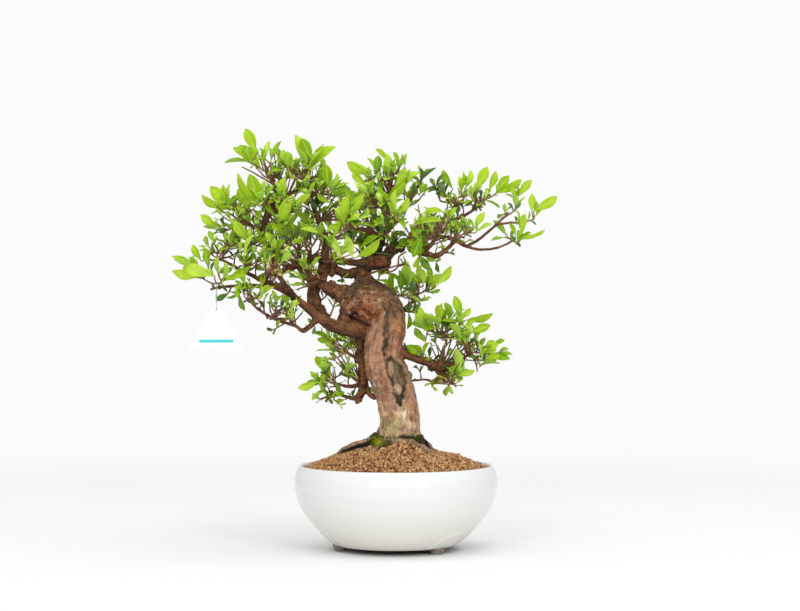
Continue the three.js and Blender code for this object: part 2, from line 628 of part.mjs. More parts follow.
function sprayNode(spray, woodMesh) {
  const shell = new Shell();
  const { ring, normal } = stemStart(woodMesh, spray);
  shell.cap(ring.toReversed());
  const forkCorners = hubCorners(hubFrame(spray.fork, spray.onward, 0), TWIG.hub);
  const forkFaces = hubFaces(forkCorners);
  const rear = [forkCorners[0], forkCorners[2], forkCorners[4]];
  const start = middle(ring);
  const lift = 0.35 * start.distanceTo(spray.fork);
  growTwig(shell, ring, rear, start.addScaledVector(normal, lift));
  const used = new Set();
  spray.rosettes.forEach(({ hub, leaves }, i) => {
    const corners = hubCorners(hub, TWIG.hub);
    const faces = hubFaces(corners);
    const { control } = spray.twigs[i];
    const aim = control.clone().sub(spray.fork).normalize();
    const facing = (k) => (used.has(k) ? -2 : middle(forkFaces[k]).sub(spray.fork).normalize().dot(aim));
    const door = forkFaces.reduce((best, _, k) => (facing(k) > facing(best) ? k : best), 0);
    used.add(door);
    growTwig(shell, forkFaces[door], [corners[0], corners[2], corners[4]], control);
    leaves.forEach((leaf) => growBlade(shell, faces[leaf.slot], leaf));
    const bare = faces.filter((_, slot) => leaves.every((leaf) => leaf.slot !== slot));
    bare.forEach((face) => shell.cap(face));
  });
  forkFaces.filter((_, k) => !used.has(k)).forEach((face) => shell.cap(face));
  return mergeVertices(shell.geometry(), WELD);
}

// ---- pieces -------------------------------------------------------------------------------------

function lathe(profile) {
  const points = profile.map(([r, z]) => new THREE.Vector2(r, z));
  return new THREE.LatheGeometry(points, BOWL.sides).rotateX(Math.PI / 2);
}

// A foot: a flattened ball lying on the slope of the wall.
function foot(angle) {
  const pad = new THREE.SphereGeometry(1, 12, 7);
  pad.scale(FOOT.thick, FOOT.half, FOOT.reach);
  pad.rotateY(radians(FOOT.lean));
  pad.translate(FOOT.radius, 0, FOOT.height);
  return solid(pad.rotateZ(radians(angle)));
}

function bowl() {
  const turned = lathe([[0, BOWL.underside], ...BOWL_OUTER, ...BOWL_INNER, [0, BOWL.floor]]);
  const mouth = [BOWL_INNER[0][0], BEYOND];
  const hollow = lathe([[0, BOWL.floor], ...BOWL_INNER.toReversed(), mouth, [0, BEYOND]]);
  const ground = new THREE.BoxGeometry(BEYOND, BEYOND, BEYOND).translate(0, 0, -BEYOND / 2);
  const drain = new THREE.CylinderGeometry(BOWL.drainRadius, BOWL.drainRadius, BEYOND, 16);
  drain.rotateX(Math.PI / 2);
  return joined([solid(turned), ...BOWL.footAngles.map(foot)])
    .subtract(solid(hollow))
    .subtract(solid(drain))
    .subtract(solid(ground));
}

// The square mesh that keeps the soil from the drain hole.
function screen() {
  const { side, thick, holes, hole, pitch } = SCREEN;
  const block = (width, height, x, y) =>
    solid(new THREE.BoxGeometry(width, width, height).translate(x, y, BOWL.floor + GAP + thick / 2));
  const places = Array.from({ length: holes }, (_, i) => (i - (holes - 1) / 2) * pitch);
  const openings = places.flatMap((x) => places.map((y) => block(hole, 2 * thick, x, y)));
  return openings.reduce((plate, opening) => plate.subtract(opening), block(side, thick, 0, 0));
}

// Height of the soil's mound, with its grains as a coarse relief.
function soilTop(share, angle) {
  const grains = Math.sin(share * 37 + 5 * angle) * Math.sin(angle * 17 + share * 21);
  return SOIL.rim + SOIL.rise * (1 - share ** SOIL.power) + SOIL.grain * grains * (share < 1 ? 1 : 0);
}

function soil(buried) {
  const circle = (radius, heightAt) =>
    Array.from({ length: BOWL.sides }, (_, j) => {
      const angle = (j / BOWL.sides) * 2 * Math.PI;
      return new THREE.Vector3(radius * Math.cos(angle), radius * Math.sin(angle), heightAt(angle));
    });
  const inWall = BOWL_INNER.toReversed().filter(([, z]) => z < SOIL.rim);
  const body = inWall.map(([r, z], i) => circle(r - 2 * GAP, () => z + (i === 0 ? GAP : 0)));
  const rimRadius = BOWL_INNER[0][0] - 2 * GAP;
  const mound = Array.from({ length: SOIL.rings }, (_, i) => {
    const share = 1 - i / SOIL.rings;
    return circle(rimRadius * share, (angle) => soilTop(share, angle));
  });
  const shell = new Shell();
  const rings = [...body, ...mound];
  shell.cap(rings[0].toReversed());
  rings.slice(1).forEach((ring, i) => shell.wall(rings[i], ring));
  shell.point(rings.at(-1), new THREE.Vector3(0, 0, soilTop(0, 0)));
  const side = SCREEN.side + 2 * GAP;
  const pocket = new THREE.BoxGeometry(side, side, side);
  pocket.translate(0, 0, BOWL.floor + SCREEN.thick + 2 * GAP - side / 2);
  return solid(shell.geometry()).subtract(buried).subtract(solid(pocket));
}

// Flutes of the old trunk, with a long cleft down its front.
function trunkSwell(angle, share) {
  const across = Math.exp(-(((angle - CLEFT.angle) / CLEFT.wide) ** 2));
  const down = Math.sin(Math.PI * Math.min(share * 1.25, 1)) ** 2;
  const flutes = 0.035 * Math.sin(3 * angle + 5 * share) + 0.02 * Math.sin(5 * angle - 9 * share);
  return 1 + flutes - CLEFT.deep * across * down;
}

const sidesFor = (radius) => (radius > 5 ? 7 : 5);

// A path made thicker and longer by a margin at both ends.
function widened(path, margin) {
  const wide = path.map(([x, y, z, r]) => [x, y, z, r + margin]);
  [[0, 1], [-1, -2]].forEach(([end, inner]) => {
    const outward = vec(path.at(end)).sub(vec(path.at(inner))).setLength(margin);
    const at = vec(path.at(end)).add(outward);
    wide[wide.length * (end < 0 ? 1 : 0) + end] = [at.x, at.y, at.z, path.at(end)[3] + margin];
  });
  return wide;
}

// The trunk's foot and roots, grown by a margin: with none they are wood, with GAP they dig the soil.
function stump(margin) {
  const roots = Object.values(ROOTS).map((path) => solid(tube(smooth(widened(path, margin), 1), 6)));
  return joined([solid(tube(smooth(widened(TRUNK, margin), 1), TRUNK_SIDES, trunkSwell)), ...roots]);
}

function wood() {
  const limbs = Object.values(LIMBS).map((path) => {
    const sides = sidesFor(path[Math.floor(path.length / 3)][3]);
    return solid(tube(smooth(path, 1), sides));
  });
  return joined([stump(0), solid(tube(smooth(KNUCKLE, 1), TRUNK_SIDES)), ...limbs]);
}

// A triangle with round corners and an eye near its top.
function tagPlate() {
  const { width, height, corner, eye, thick } = TAG;
  const corners = [
    new THREE.Vector2(-width / 2, -height), new THREE.Vector2(width / 2, -height), new THREE.Vector2(0, 0),
  ];
  const shape = new THREE.Shape();
  corners.forEach((at, i) => {
    const cut = (other) => other.clone().sub(at).setLength(corner * 1.7).add(at);
    const [enter, leave] = [cut(corners[(i + 2) % 3]), cut(corners[(i + 1) % 3])];
    if (i === 0) shape.moveTo(enter.x, enter.y);
    else shape.lineTo(enter.x, enter.y);
    shape.quadraticCurveTo(at.x, at.y, leave.x, leave.y);
  });
  shape.closePath();
  shape.holes.push(new THREE.Path().absarc(0, eyeDepth(), eye, 0, 2 * Math.PI, true));
  const plate = new THREE.ExtrudeGeometry(shape, { depth: thick, bevelEnabled: false, curveSegments: 4 });
  return plate.translate(0, 0, -thick / 2).rotateX(Math.PI / 2).translate(TAG.x, TAG.y, TAG.top);
}

const eyeDepth = () => -TAG.corner - TAG.eye - 3;

// A closed loop of wire: over the twig, pinched together below it, and through the tag's eye.
function tagWire() {
  const eye = TAG.top + eyeDepth();
  const { radius, over, leg, waist, waistTop, waistLow } = WIRE;
  const half = [
    [waist, waistLow], [waist, waistTop], [leg, over - 3.2], [leg * 0.75, over - 0.7],
  ];
  const loop = [
    [0, eye + radius - TAG.eye + GAP], [1.3, eye], ...half, [0, over],
    ...half.toReversed().map(([y, z]) => [-y, z]), [-1.3, eye],
  ].map(([y, z]) => new THREE.Vector3(TAG.x, TAG.y + y, z));
  const curve = new THREE.CatmullRomCurve3(loop, true, "catmullrom", 0.5);
  const steps = loop.length * 2;
  const rings = Array.from({ length: steps }, (_, i) => {
    const ahead = curve.getTangent(i / steps);
    const side = new THREE.Vector3(1, 0, 0);
    const other = ahead.clone().cross(side);
    return Array.from({ length: 5 }, (_, j) =>
      curve
        .getPoint(i / steps)
        .addScaledVector(side, radius * Math.cos((j * 2 * Math.PI) / 5))
        .addScaledVector(other, radius * Math.sin((j * 2 * Math.PI) / 5)),
    );
  });
  const shell = new Shell();
  rings.forEach((ring, i) => shell.wall(ring, rings[(i + 1) % steps]));
  return mergeVertices(shell.geometry(), WELD);
}

// ---- assembly -----------------------------------------------------------------------------------

const finishes = {
  glaze: { color: 0xeef0ec, roughness: 0.18 },
  soil: { color: 0xb5814f, roughness: 0.95 },
  bark: { color: 0x8a6650, roughness: 0.85 },
  leaf: { color: 0x7dbb35, roughness: 0.55 },
  netting: { color: 0x26282a, roughness: 0.6 },
  label: { color: 0xfbfbfa, roughness: 0.4 },
  steel: { color: 0x9a9a98, roughness: 0.35, metalness: 1 },
};

const tree = new THREE.Group();

function add(name, geometry, finish) {
  const mesh = new THREE.Mesh(geometry, new THREE.MeshStandardMaterial(finishes[finish]));
  mesh.name = name;
  tree.add(mesh);
  return mesh;
}

add("bowl", geometryOf(bowl()), "glaze");
add("drain_screen", geometryOf(screen()), "netting");
add("soil", geometryOf(soil(stump(GAP))), "soil");
const woodMesh = add("trunk_and_branches", geometryOf(wood()), "bark");

const limbRuns = Object.fromEntries(Object.entries(LIMBS).map(([name, path]) => [name, smooth(path, 3)]));
[smooth(TRUNK, 3), smooth(KNUCKLE, 3), ...Object.values(limbRuns)].forEach((run) => place("wood", run));
const sprays = growSprays(limbRuns);
sprays.forEach((spray) => add(spray.owner, sprayNode(spray, woodMesh), "leaf"));

add("tag", tagPlate(), "label");
add("tag_wire", tagWire(), "steel");

// The origin is the middle of the footprint, on the ground.
const box = new THREE.Box3().setFromObject(tree);
const centre = box.getCenter(new THREE.Vector3());
tree.position.set(-centre.x, -centre.y, -box.min.z);

export default tree;
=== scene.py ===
import math
import random
from collections import namedtuple
from contextlib import contextmanager

import bpy
import numpy as np
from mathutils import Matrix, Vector, noise


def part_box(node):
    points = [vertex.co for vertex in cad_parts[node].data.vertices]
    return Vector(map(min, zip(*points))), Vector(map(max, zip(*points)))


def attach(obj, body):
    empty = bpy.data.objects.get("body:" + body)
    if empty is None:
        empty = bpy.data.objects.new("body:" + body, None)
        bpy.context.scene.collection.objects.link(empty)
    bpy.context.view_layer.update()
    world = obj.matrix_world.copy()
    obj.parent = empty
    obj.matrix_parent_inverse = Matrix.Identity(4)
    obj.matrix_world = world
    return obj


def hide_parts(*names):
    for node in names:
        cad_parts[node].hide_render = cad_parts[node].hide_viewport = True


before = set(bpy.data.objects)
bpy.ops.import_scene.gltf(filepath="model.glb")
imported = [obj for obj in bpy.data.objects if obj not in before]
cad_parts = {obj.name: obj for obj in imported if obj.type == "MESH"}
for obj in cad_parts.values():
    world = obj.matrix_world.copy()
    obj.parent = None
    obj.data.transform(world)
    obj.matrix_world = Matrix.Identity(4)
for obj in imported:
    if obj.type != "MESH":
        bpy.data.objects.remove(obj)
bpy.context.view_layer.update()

# Satsuki azalea bonsai in a round glazed bowl.
# The tree is laid out in millimetres round the bowl's own axis, with its feet on Z = 0 and its front
# to -Y, and goes into the frame, in metres, when a mesh is made.

MM = 0.001
BODY = "root"

low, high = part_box("bowl")
AXIS = np.array([(low.x + high.x) / 2, (low.y + high.y) / 2, 0.0])


def in_frame(points):
    """Millimetres round the bowl's axis to metres in the frame."""
    return np.asarray(points, float) * MM + AXIS


def unit(v):
    return v / np.linalg.norm(v)


def ease(low_end, high_end, x):
    """0 below low_end, 1 above high_end and smooth between them."""
    t = np.clip((x - low_end) / (high_end - low_end), 0, 1)
    return t * t * (3 - 2 * t)


def bell(x, middle, reach):
    """1 at the middle, down to 0 well beyond the reach."""
    return np.exp(-(((x - middle) / reach) ** 2))


# ---- driving sizes, in millimetres --------------------------------------------------------------

EYE = (4.0, -2000.0, 243.5)  # where the camera stands
LENS, SENSOR = 90.0, 36.0

# The bowl's wall as [radius, height]: up the outside, over the lip and down to the soil's bed.
BOWL_OUTSIDE = [
    [57, 5.0], [60.5, 5.2], [63.5, 6.9], [68.6, 11], [75.5, 17.6], [85.3, 28.4], [92.4, 37.6], [96.6, 45.2],
    [99.4, 53.4], [101, 61], [101.2, 67], [100.5, 74], [98.9, 79.6], [97.5, 82.4],
]
BOWL_LIP = [[97.5, 82.4], [96.6, 83.7], [95.4, 84.2], [94.3, 83.6], [93.7, 82]]
BOWL_INSIDE = [[93.7, 82], [94.5, 70], [94, 53], [84, 34], [56, 11.5], [13.5, 11]]
DRAIN = [[12.6, 10.6], [12, 9.6], [12, 6], [12.6, 4.9], [13.5, 4.5]]
BOWL_STEPS = 240
THROWING = {"pitch": 3.3, "depth": 0.045}  # the rings that the thrower's fingers leave
PAD = {"half": 17.0, "low": -2.0, "high": 23.0, "lean": 9.0, "proud": 1.3, "edge": 0.9}
FOOT_ANGLES = (-45, 75, 195)
FOOT = {"radius": 57.5, "half": 8.6, "deep": 7.2, "tall": 10.0, "middle": 3.0}

SOIL = {
    "radius": 93.1, "rim": 80.6, "rise": 24.5, "power": 1.8, "heap": (9, -24), "heap_reach": (14, 13),
    "heap_tall": 7, "dip": (42, 2), "dip_reach": (14, 24), "dip_deep": 2.6,
}
BED_DROP = 1.6  # how far the fine soil lies below the tops of the granules
GRAIN = {"count": 7400, "least": 0.75, "most": 2.5}
# Moss round the trunk's foot: the band of height that it keeps to, how far out from the trunk's middle it
# grows and up to what Y it counts as front. There it is thick at the left and the right, each as x, reach,
# z and reach, and in a seam, as z and reach.
MOSS = {
    "tufts": 3200, "blades": 5, "tall": 2.3, "band": (102.5, 116.5), "out": 36, "middle": 4, "front": 4,
    "left": (-17, 8.5, 108.5, 4.5), "right": (23, 4, 110, 3.2), "seam": (113.5, 1.3),
}

TWIG = {"stem": 1.25, "fork": 1.0, "end": 0.75, "hub": 1.35, "clear": 1.5, "tip": 1.1}
FORK = {
    "reach": 0.52, "clear": 4, "aside": 0.08, "aside_step": 0.035, "turn_step": 0.8, "stem": (0.35, 0.65),
    "lead": 0.4, "bow": 0.12, "sag": 0.1, "steps": 4, "guard": 1.1,
}
LEAF = {
    "length": 27, "least": 0.72, "spread": 0.42, "aspect": 0.205, "ball": 2, "overlap": 0.35,
    "droop": (0.05, 0.17), "swing": 24, "tilt": 18, "turn_step": 2.5, "lean_step": 5, "low_lean": 60,
    "low_size": 0.88, "short_from": 5, "short": 0.75,
}
ROSETTE = {"along": 0.55, "up": 0.7, "fewest": 4, "more": 1.9}
# The seven shoots that a hub can bear: turn and lean from its axis, in degrees.
SHOOTS = [(120, 26), (240, 34), (0, 43), (60, 66), (180, 74), (300, 84), (0, 5)]
BENDS = 9  # ways of bending a spray clear of its neighbours
LEAF_TRIES = 9  # ways of turning a leaf clear of its neighbours
SEAT_SPACING = 7  # least distance along a limb between two sprays
TAKEN = 1e6  # a distance that rules a seat out

TAG = {
    "width": 57, "height": 49, "thick": 1.0, "corner": 4, "eye": 1.9, "above": 3, "x": -177.5, "y": -23,
    "top": 248.5,
}
WIRE = {"radius": 0.45, "over": 263.6, "leg": 2.3, "waist": 0.55, "waist_top": 256, "waist_low": 247.5}

# ---- the wood: paths of [x, y, z, radius] -------------------------------------------------------

TRUNK = [
    [6, 2, 74, 12], [5, 1, 92, 22], [3, 0, 104, 26], [3, 0, 113, 23.5], [4, 0, 122, 20.3],
    [3, 0, 136, 19.6], [0, 0, 150, 19.8], [-4.7, -1, 164, 19.4], [-9.4, -2, 177.5, 20],
    [-12.8, -3, 191, 18.8], [-12.5, -4, 204, 18.5], [-9.5, -3, 218, 19.3], [-9, 0, 231, 19],
    [-13, 3, 243, 17], [-17, 5, 253, 12.5],
]
# The old swelling that the trunk turns into at its top.
KNUCKLE = [
    [4, 3, 236, 9], [-5, 4, 239, 16.5], [-16, 5, 244, 20], [-28, 6, 249, 21.4], [-37, 5, 250, 19.6],
    [-44, 4, 249.5, 14],
]

ROOTS = {
    "root_left": [
        [-10, 3, 110, 11], [-27, 4, 104, 6.4], [-40, 4, 101.5, 5.6], [-50, 3, 98, 5], [-59, 2, 92, 3.6],
        [-66, 1, 84, 2.2],
    ],
    "root_right": [[14, 4, 112, 10], [26, 3, 104, 6.5], [34, 2, 97.5, 5], [43, 2, 88, 3]],
    "root_front_right": [[10, -9, 109, 8], [20, -18, 106, 4.6], [30, -24, 100.5, 3.4], [40, -30, 92, 2.2]],
    "root_front_left": [[-6, -10, 108, 8], [-17, -20, 101, 5], [-25, -28, 95, 3.4], [-32, -36, 86, 2.2]],
    "root_back_left": [[-8, 13, 108, 9], [-20, 26, 101, 6], [-30, 36, 94, 4], [-38, 44, 84, 2.4]],
    "root_back_right": [[9, 15, 108, 8], [18, 30, 101, 5.5], [24, 42, 93, 3.6], [29, 51, 83, 2.2]],
}

LIMBS = {
    "neck": [
        [-34, 6, 258, 11], [-35, 8, 272, 6.6], [-32, 8, 281, 6.2], [-25, 6, 286, 7.4], [-15, 4, 287, 8.6],
        [-7, 2, 286, 6.4],
    ],
    "crown": [
        [-22, 6, 287, 6.5], [-18, 8, 301, 5], [-13, 10, 316, 4], [-10, 8, 332, 3.2], [-7, 5, 348, 2.4],
        [-5, 2, 362, 1.8],
    ],
    "right": [
        [-13, 3, 289, 6.2], [-2, 1, 299, 5.2], [8, -1, 305, 4.8], [17, -2, 309, 4.4], [32, 0, 312, 3.3],
        [46, 2, 312, 2.7], [57, 3, 310, 2.4], [64, 3, 306, 2.2], [72, 3, 302, 2],
    ],
    "right_up": [
        [70, 3, 302.5, 1.7], [82, 4, 309, 1.5], [92, 5, 317, 1.4], [101, 6, 325, 1.3], [106, 6, 330, 1.2],
    ],
    "right_out": [
        [70, 3, 303, 1.6], [80, 1, 300, 1.4], [91, 0, 299.5, 1.3], [102, -1, 301.5, 1.2],
        [112, -2, 305.5, 1.1],
    ],
    "right_low": [
        [15, -2, 307, 4.2], [22, -2, 299, 3.7], [31, -3, 295, 3.3], [40, -4, 293, 2.9], [50, -5, 299, 2.3],
        [58, -6, 307, 1.8],
    ],
    "right_high": [
        [12, -1, 307, 4.2], [21, 3, 320, 3.5], [32, 6, 326, 3.1], [44, 8, 328, 2.7], [53, 8, 335, 2],
        [60, 8, 345, 1.5],
    ],
    "right_shelf": [
        [42, 8, 328, 2.3], [56, 10, 329, 1.9], [67, 10, 333, 1.6], [77, 10, 339, 1.4], [83, 10, 344, 1.2],
    ],
    "low_left": [
        [-14, 2, 212, 9], [-31, 0, 217, 7.6], [-49, -4, 219.5, 6.8], [-62.5, -8, 223, 6.5],
        [-75, -11, 230.4, 6], [-87, -13, 240, 5.5], [-99, -15, 250, 5], [-110, -16, 258, 4.4],
        [-121.5, -17, 263.5, 4], [-132, -18, 268, 3.3], [-142, -19, 273, 2.8], [-154, -20, 279, 2.3],
        [-164, -20, 284.5, 1.9], [-173, -20, 289, 1.6],
    ],
    "tag_twig": [
        [-121, -17, 263.3, 2.8], [-132, -20, 262, 2.3], [-143, -22, 263.5, 2], [-154, -23, 263, 1.8],
        [-163, -23, 262.5, 1.5], [-171, -23, 262, 1.4], [-177.5, -23, 261, 1.3], [-183, -23, 259.5, 1.2],
    ],
    "under_left": [
        [-79, -12, 231, 4], [-84, -13, 224, 2.8], [-92.5, -15, 218.6, 2.4], [-101, -18, 224, 1.7],
        [-114, -22, 227.5, 1.5], [-125, -25, 233, 1.4], [-136, -27, 240, 1.3], [-143, -28, 247, 1.2],
    ],
    "left_riser": [
        [-70, -7, 230, 6.4], [-80, 4, 240, 6.3], [-83, 10, 252, 6], [-81, 14, 264, 5.5],
        [-75, 16, 277, 5.2], [-72, 16, 290, 4.8], [-71, 15, 302, 4.3], [-73, 14, 314, 3.7],
        [-78, 12, 330, 3], [-84, 10, 346, 2.3], [-86, 8, 360, 1.7],
    ],
    "twisted": [
        [-46, 1, 250, 7], [-60, -3, 254.5, 5.2], [-70.5, -4, 261, 4.8], [-75.5, -3, 270, 4.8],
        [-72, 0, 279, 5], [-64, 4, 284.5, 4.6],
    ],
    "cross_left": [
        [-34, 8, 279, 5.6], [-47, 9, 275.5, 4.7], [-57, 8, 277.5, 4.7], [-66, 7, 285, 4.4],
        [-75, 5, 290.5, 4.1], [-86, 3, 289.5, 3.8], [-98, 0, 284, 3.4], [-109, -3, 279, 3],
        [-118, -4, 275.5, 2.6], [-129, -6, 275, 2],
    ],
    "crown_left": [
        [-105, -2, 281, 3.3], [-117, 0, 289, 3], [-127, 2, 298, 2.8], [-133, 3, 309, 2.6],
        [-133, 4, 323, 2.4], [-127, 5, 334, 2.3], [-122, 5, 344, 2.1], [-121, 5, 356, 1.9],
        [-123, 4, 367, 1.6],
    ],
    "crown_branch": [
        [-126, 5, 335, 2.2], [-115, 4, 343, 2], [-107, 3, 354, 1.8], [-98, 2, 361, 1.6], [-90, 0, 368, 1.3],
    ],
    "left_arm": [[-133, 4, 318, 2.1], [-142, 2, 322, 1.7], [-151, -1, 328, 1.5], [-158, -3, 333, 1.2]],
    "back_mid": [
        [-18, 9, 303, 3.8], [-20, 25, 312, 3.1], [-26, 44, 321, 2.4], [-30, 60, 331, 1.8],
        [-29, 70, 340, 1.4],
    ],
    "front_mid": [[-15, 9, 308, 3.4], [-22, -8, 315, 2.8], [-30, -24, 318, 2.2], [-38, -40, 319, 1.6]],
    "back_left": [
        [-81, 13, 262, 4.4], [-92, 31, 275, 3.4], [-104, 49, 287, 2.7], [-115, 64, 297, 2],
        [-122, 74, 304, 1.5],
    ],
    "back_right": [
        [10, 0, 306, 3.9], [21, 19, 311, 3], [35, 38, 316, 2.4], [49, 53, 321, 1.8], [58, 62, 328, 1.4],
    ],
    "front_right": [[28, -3, 296.5, 3], [33, -20, 302, 2.3], [39, -36, 309, 1.8], [43, -46, 316, 1.4]],
    "front_left": [
        [-101, -15, 251.5, 3.8], [-108, -32, 262, 2.8], [-114, -48, 272, 2.1], [-118, -58, 279, 1.5],
    ],
    "middle_right": [[-6, 6, 236, 5], [7, 11, 239, 2.8], [14, 12, 245, 2], [19, 11, 250, 1.5]],
    "low_right": [
        [-8, -1, 199, 6], [3, -1, 197.5, 5], [16, -3, 192, 4.2], [30, -5, 187, 4.2], [40, -6, 183.5, 5.4],
        [46, -6, 176, 4.8], [50, -6, 169, 3.2],
    ],
    "low_right_up": [[42, -6, 182, 3.2], [45, -6, 193, 2.4], [49, -5, 204, 1.9], [51, -4, 211, 1.5]],
    "low_right_out": [[45, -6, 179, 3], [54, -7, 183, 2.1], [64, -7, 189, 1.7], [72, -7, 194, 1.3]],
    "low_right_tie": [
        [45, -6, 173, 2.6], [36, -5, 168, 1.4], [30, -3, 169.5, 1.1], [14, 2, 168, 1], [0, 4, 167, 1],
    ],
    "drop": [
        [-30, 3, 218, 7], [-35.5, 8, 206, 5], [-34, 12, 187, 4.8], [-33, 14, 172, 4.8],
        [-32.5, 14, 163, 4.8], [-36, 14, 153, 4], [-39.5, 13, 146, 2.6],
    ],
    "drop_stub": [[-32, 14, 163, 4], [-26, 14, 154, 2.8], [-21, 14, 150, 2.2]],
    "drop_side": [[-33, 14, 165, 3.2], [-42, 12, 162.5, 2.2], [-50, 9, 162.5, 1.8], [-60, 7, 165, 1.4]],
    "drop_low": [[-37, 14, 152, 3], [-44, 12, 150, 2], [-55, 9, 153.5, 1.6], [-64, 6, 156, 1.3]],
    "drop_high": [[-34.5, 11, 192, 3], [-42, 10, 192, 1.9], [-50, 8, 197, 1.5]],
}

# ---- the leafy sprays: the limb that each grows from, and where its rosettes sit ----------------

SPRAYS = [
    ["crown_left", [-144, -8, 386], [-126, 8, 386]],
    ["crown_left", [-104, 22, 379], [-118, 34, 371]],
    ["crown_branch", [-107, -5, 379], [-89, -3, 379]],
    ["crown_branch", [-80, 9, 366], [-92, 25, 364]],
    ["left_riser", [-67, -10, 356], [-86, -14, 349]],
    ["left_riser", [-74, 22, 376], [-62, 34, 362]],
    ["left_riser", [-53, 4, 335], [-45, -5, 346]],
    ["left_arm", [-165, -6, 340], [-150, -3, 340]],
    ["left_arm", [-174, -9, 317], [-160, -16, 318]],
    ["crown_left", [-131, -24, 345], [-117, -24, 348]],
    ["crown_left", [-115, -30, 324], [-100, -26, 337]],
    ["crown_left", [-145, -22, 305], [-158, -12, 302]],
    ["crown_left", [-146, 28, 322], [-134, 43, 334]],
    ["low_left", [-182, -24, 296], [-170, -8, 304]],
    ["tag_twig", [-193, -32, 272], [-170, -46, 266]],
    ["low_left", [-133, -42, 288], [-148, -50, 289]],
    ["low_left", [-121, -50, 300], [-109, -53, 288]],
    ["under_left", [-134, -46, 250], [-147, -42, 260]],
    ["under_left", [-106, -40, 236], [-118, -42, 244]],
    ["cross_left", [-92, -25, 308], [-76, -28, 312]],
    ["cross_left", [-96, 16, 306], [-110, 22, 312]],
    ["cross_left", [-54, -43, 290], [-64, -37, 302]],
    ["left_riser", [-90, 43, 326], [-104, 53, 318]],
    ["left_riser", [-58, 43, 318], [-50, 31, 330]],
    ["twisted", [-84, -34, 280], [-92, -37, 268]],
    ["crown", [-8, -6, 371], [1, 5, 377]],
    ["crown", [-28, -9, 368], [-18, 12, 373]],
    ["crown", [-14, -25, 345], [-30, -22, 351]],
    ["crown", [2, -34, 327], [-12, -40, 322]],
    ["crown", [14, 19, 352], [24, 9, 368]],
    ["crown", [-34, 40, 346], [-20, 46, 354]],
    ["front_mid", [-50, -56, 322], [-44, -50, 325], [-35, -49, 323]],
    ["back_mid", [-30, 78, 350], [-44, 62, 342]],
    ["back_mid", [-12, 58, 340], [-14, 44, 332]],
    ["back_left", [-128, 80, 314], [-114, 84, 310]],
    ["back_left", [-132, 52, 314], [-98, 62, 308]],
    ["back_right", [64, 70, 338], [50, 72, 332]],
    ["back_right", [38, 50, 334], [54, 44, 328]],
    ["front_right", [48, -54, 325], [38, -52, 322]],
    ["front_right", [26, -56, 318], [30, -19, 322]],
    ["front_left", [-122, -66, 288], [-112, -66, 284]],
    ["right_high", [66, 12, 354], [53, 0, 350], [44, 19, 356]],
    ["right_shelf", [88, 16, 350], [78, 6, 349]],
    ["right_up", [110, 9, 336], [120, 12, 340]],
    ["right_up", [138, 4, 330], [122, -12, 326]],
    ["right_out", [120, -7, 306], [112, 12, 312]],
    ["right_low", [70, -12, 317], [60, -16, 319]],
    ["middle_right", [1, 25, 254], [13, 31, 260], [23, 9, 262], [31, 16, 259]],
    ["low_right_up", [31, -9, 218], [43, -16, 221], [53, 5, 226], [62, -14, 224], [40, 15, 213]],
    ["low_right_out", [66, -18, 208], [85, -11, 196], [84, -20, 184], [73, 10, 205]],
    ["low_right", [60, -12, 172], [52, -7, 164]],
    ["drop_high", [-65, 8, 207], [-57, 12, 196], [-45, 17, 206]],
    ["drop_side", [-69, 6, 173], [-76, 3, 166], [-52, 6, 176]],
    ["drop_low", [-73, 6, 161], [-66, -6, 150]],
]

# ---- growth: where every twig and leaf stands ---------------------------------------------------

UP = np.array([0.0, 0.0, 1.0])
Spray = namedtuple("Spray", "owner seat fork onward twigs rosettes")
Leaf = namedtuple("Leaf", "base along face across length droop")


def draws(seed):
    """A seeded draw that gives the same numbers on every machine."""
    state = seed
    while True:
        state = (state * 48271) % 2147483647
        yield state / 2147483647


def curved(a, b, c, d, t):
    """The point a share t of the way from b to c, on a smooth curve that also runs by a and d."""
    start, end = (c - a) / 2, (d - b) / 2
    cubic = (2 * b - 2 * c + start + end) * t**3 + (3 * c - 3 * b - 2 * start - end) * t**2
    return cubic + start * t + b


def smooth(path, steps_each):
    """Points and radii along a smooth curve through a path's own points."""
    path = np.array(path, float)
    p = path[:, :3]
    p = np.vstack([2 * p[0] - p[1], p, 2 * p[-1] - p[-2]])
    points, radii = [], []
    for k in range(len(path) - 1):
        last = k == len(path) - 2
        for i in range(steps_each + last):
            t = i / steps_each
            points.append(curved(*p[k : k + 4], t))
            radii.append(path[k, 3] + (path[k + 1, 3] - path[k, 3]) * t)
    return np.array(points), np.array(radii)


class Crowd:
    """Balls that stand for everything placed so far."""

    def __init__(self):
        self.points, self.radii, self.owners = np.empty((0, 3)), np.empty(0), np.empty(0, int)
        self.names = {}

    def place(self, owner, points, radii):
        number = self.names.setdefault(owner, len(self.names))
        self.points = np.vstack([self.points, points])
        self.radii = np.append(self.radii, np.broadcast_to(radii, len(points)))
        self.owners = np.append(self.owners, np.full(len(points), number))

    def free(self, points, radii, but=None):
        """Least free distance from the balls to everything placed, but for one owner's."""
        keep = self.owners != self.names.get(but, -1)
        return between(points, radii, self.points[keep], self.radii[keep])


def between(some, some_radii, others, other_radii):
    far = np.linalg.norm(some[:, None] - others[None], axis=2)
    return (far - np.reshape(some_radii, (-1, 1)) - other_radii).min()


def seat_on(limb, target, taken):
    """The point of a limb that a spray grows from: its nearest one that no other spray has taken."""
    points, radii = limb
    scores = np.linalg.norm(points - target, axis=1)
    for other in taken:
        scores += TAKEN * (np.linalg.norm(points - other, axis=1) <= SEAT_SPACING)
    k = int(np.argmin(scores))
    taken.append(points[k])
    return points[k], radii[k]


def bent(a, control, b, steps):
    t = np.linspace(0, 1, steps + 1)[:, None]
    return (1 - t) ** 2 * a + 2 * t * (1 - t) * control + t**2 * b


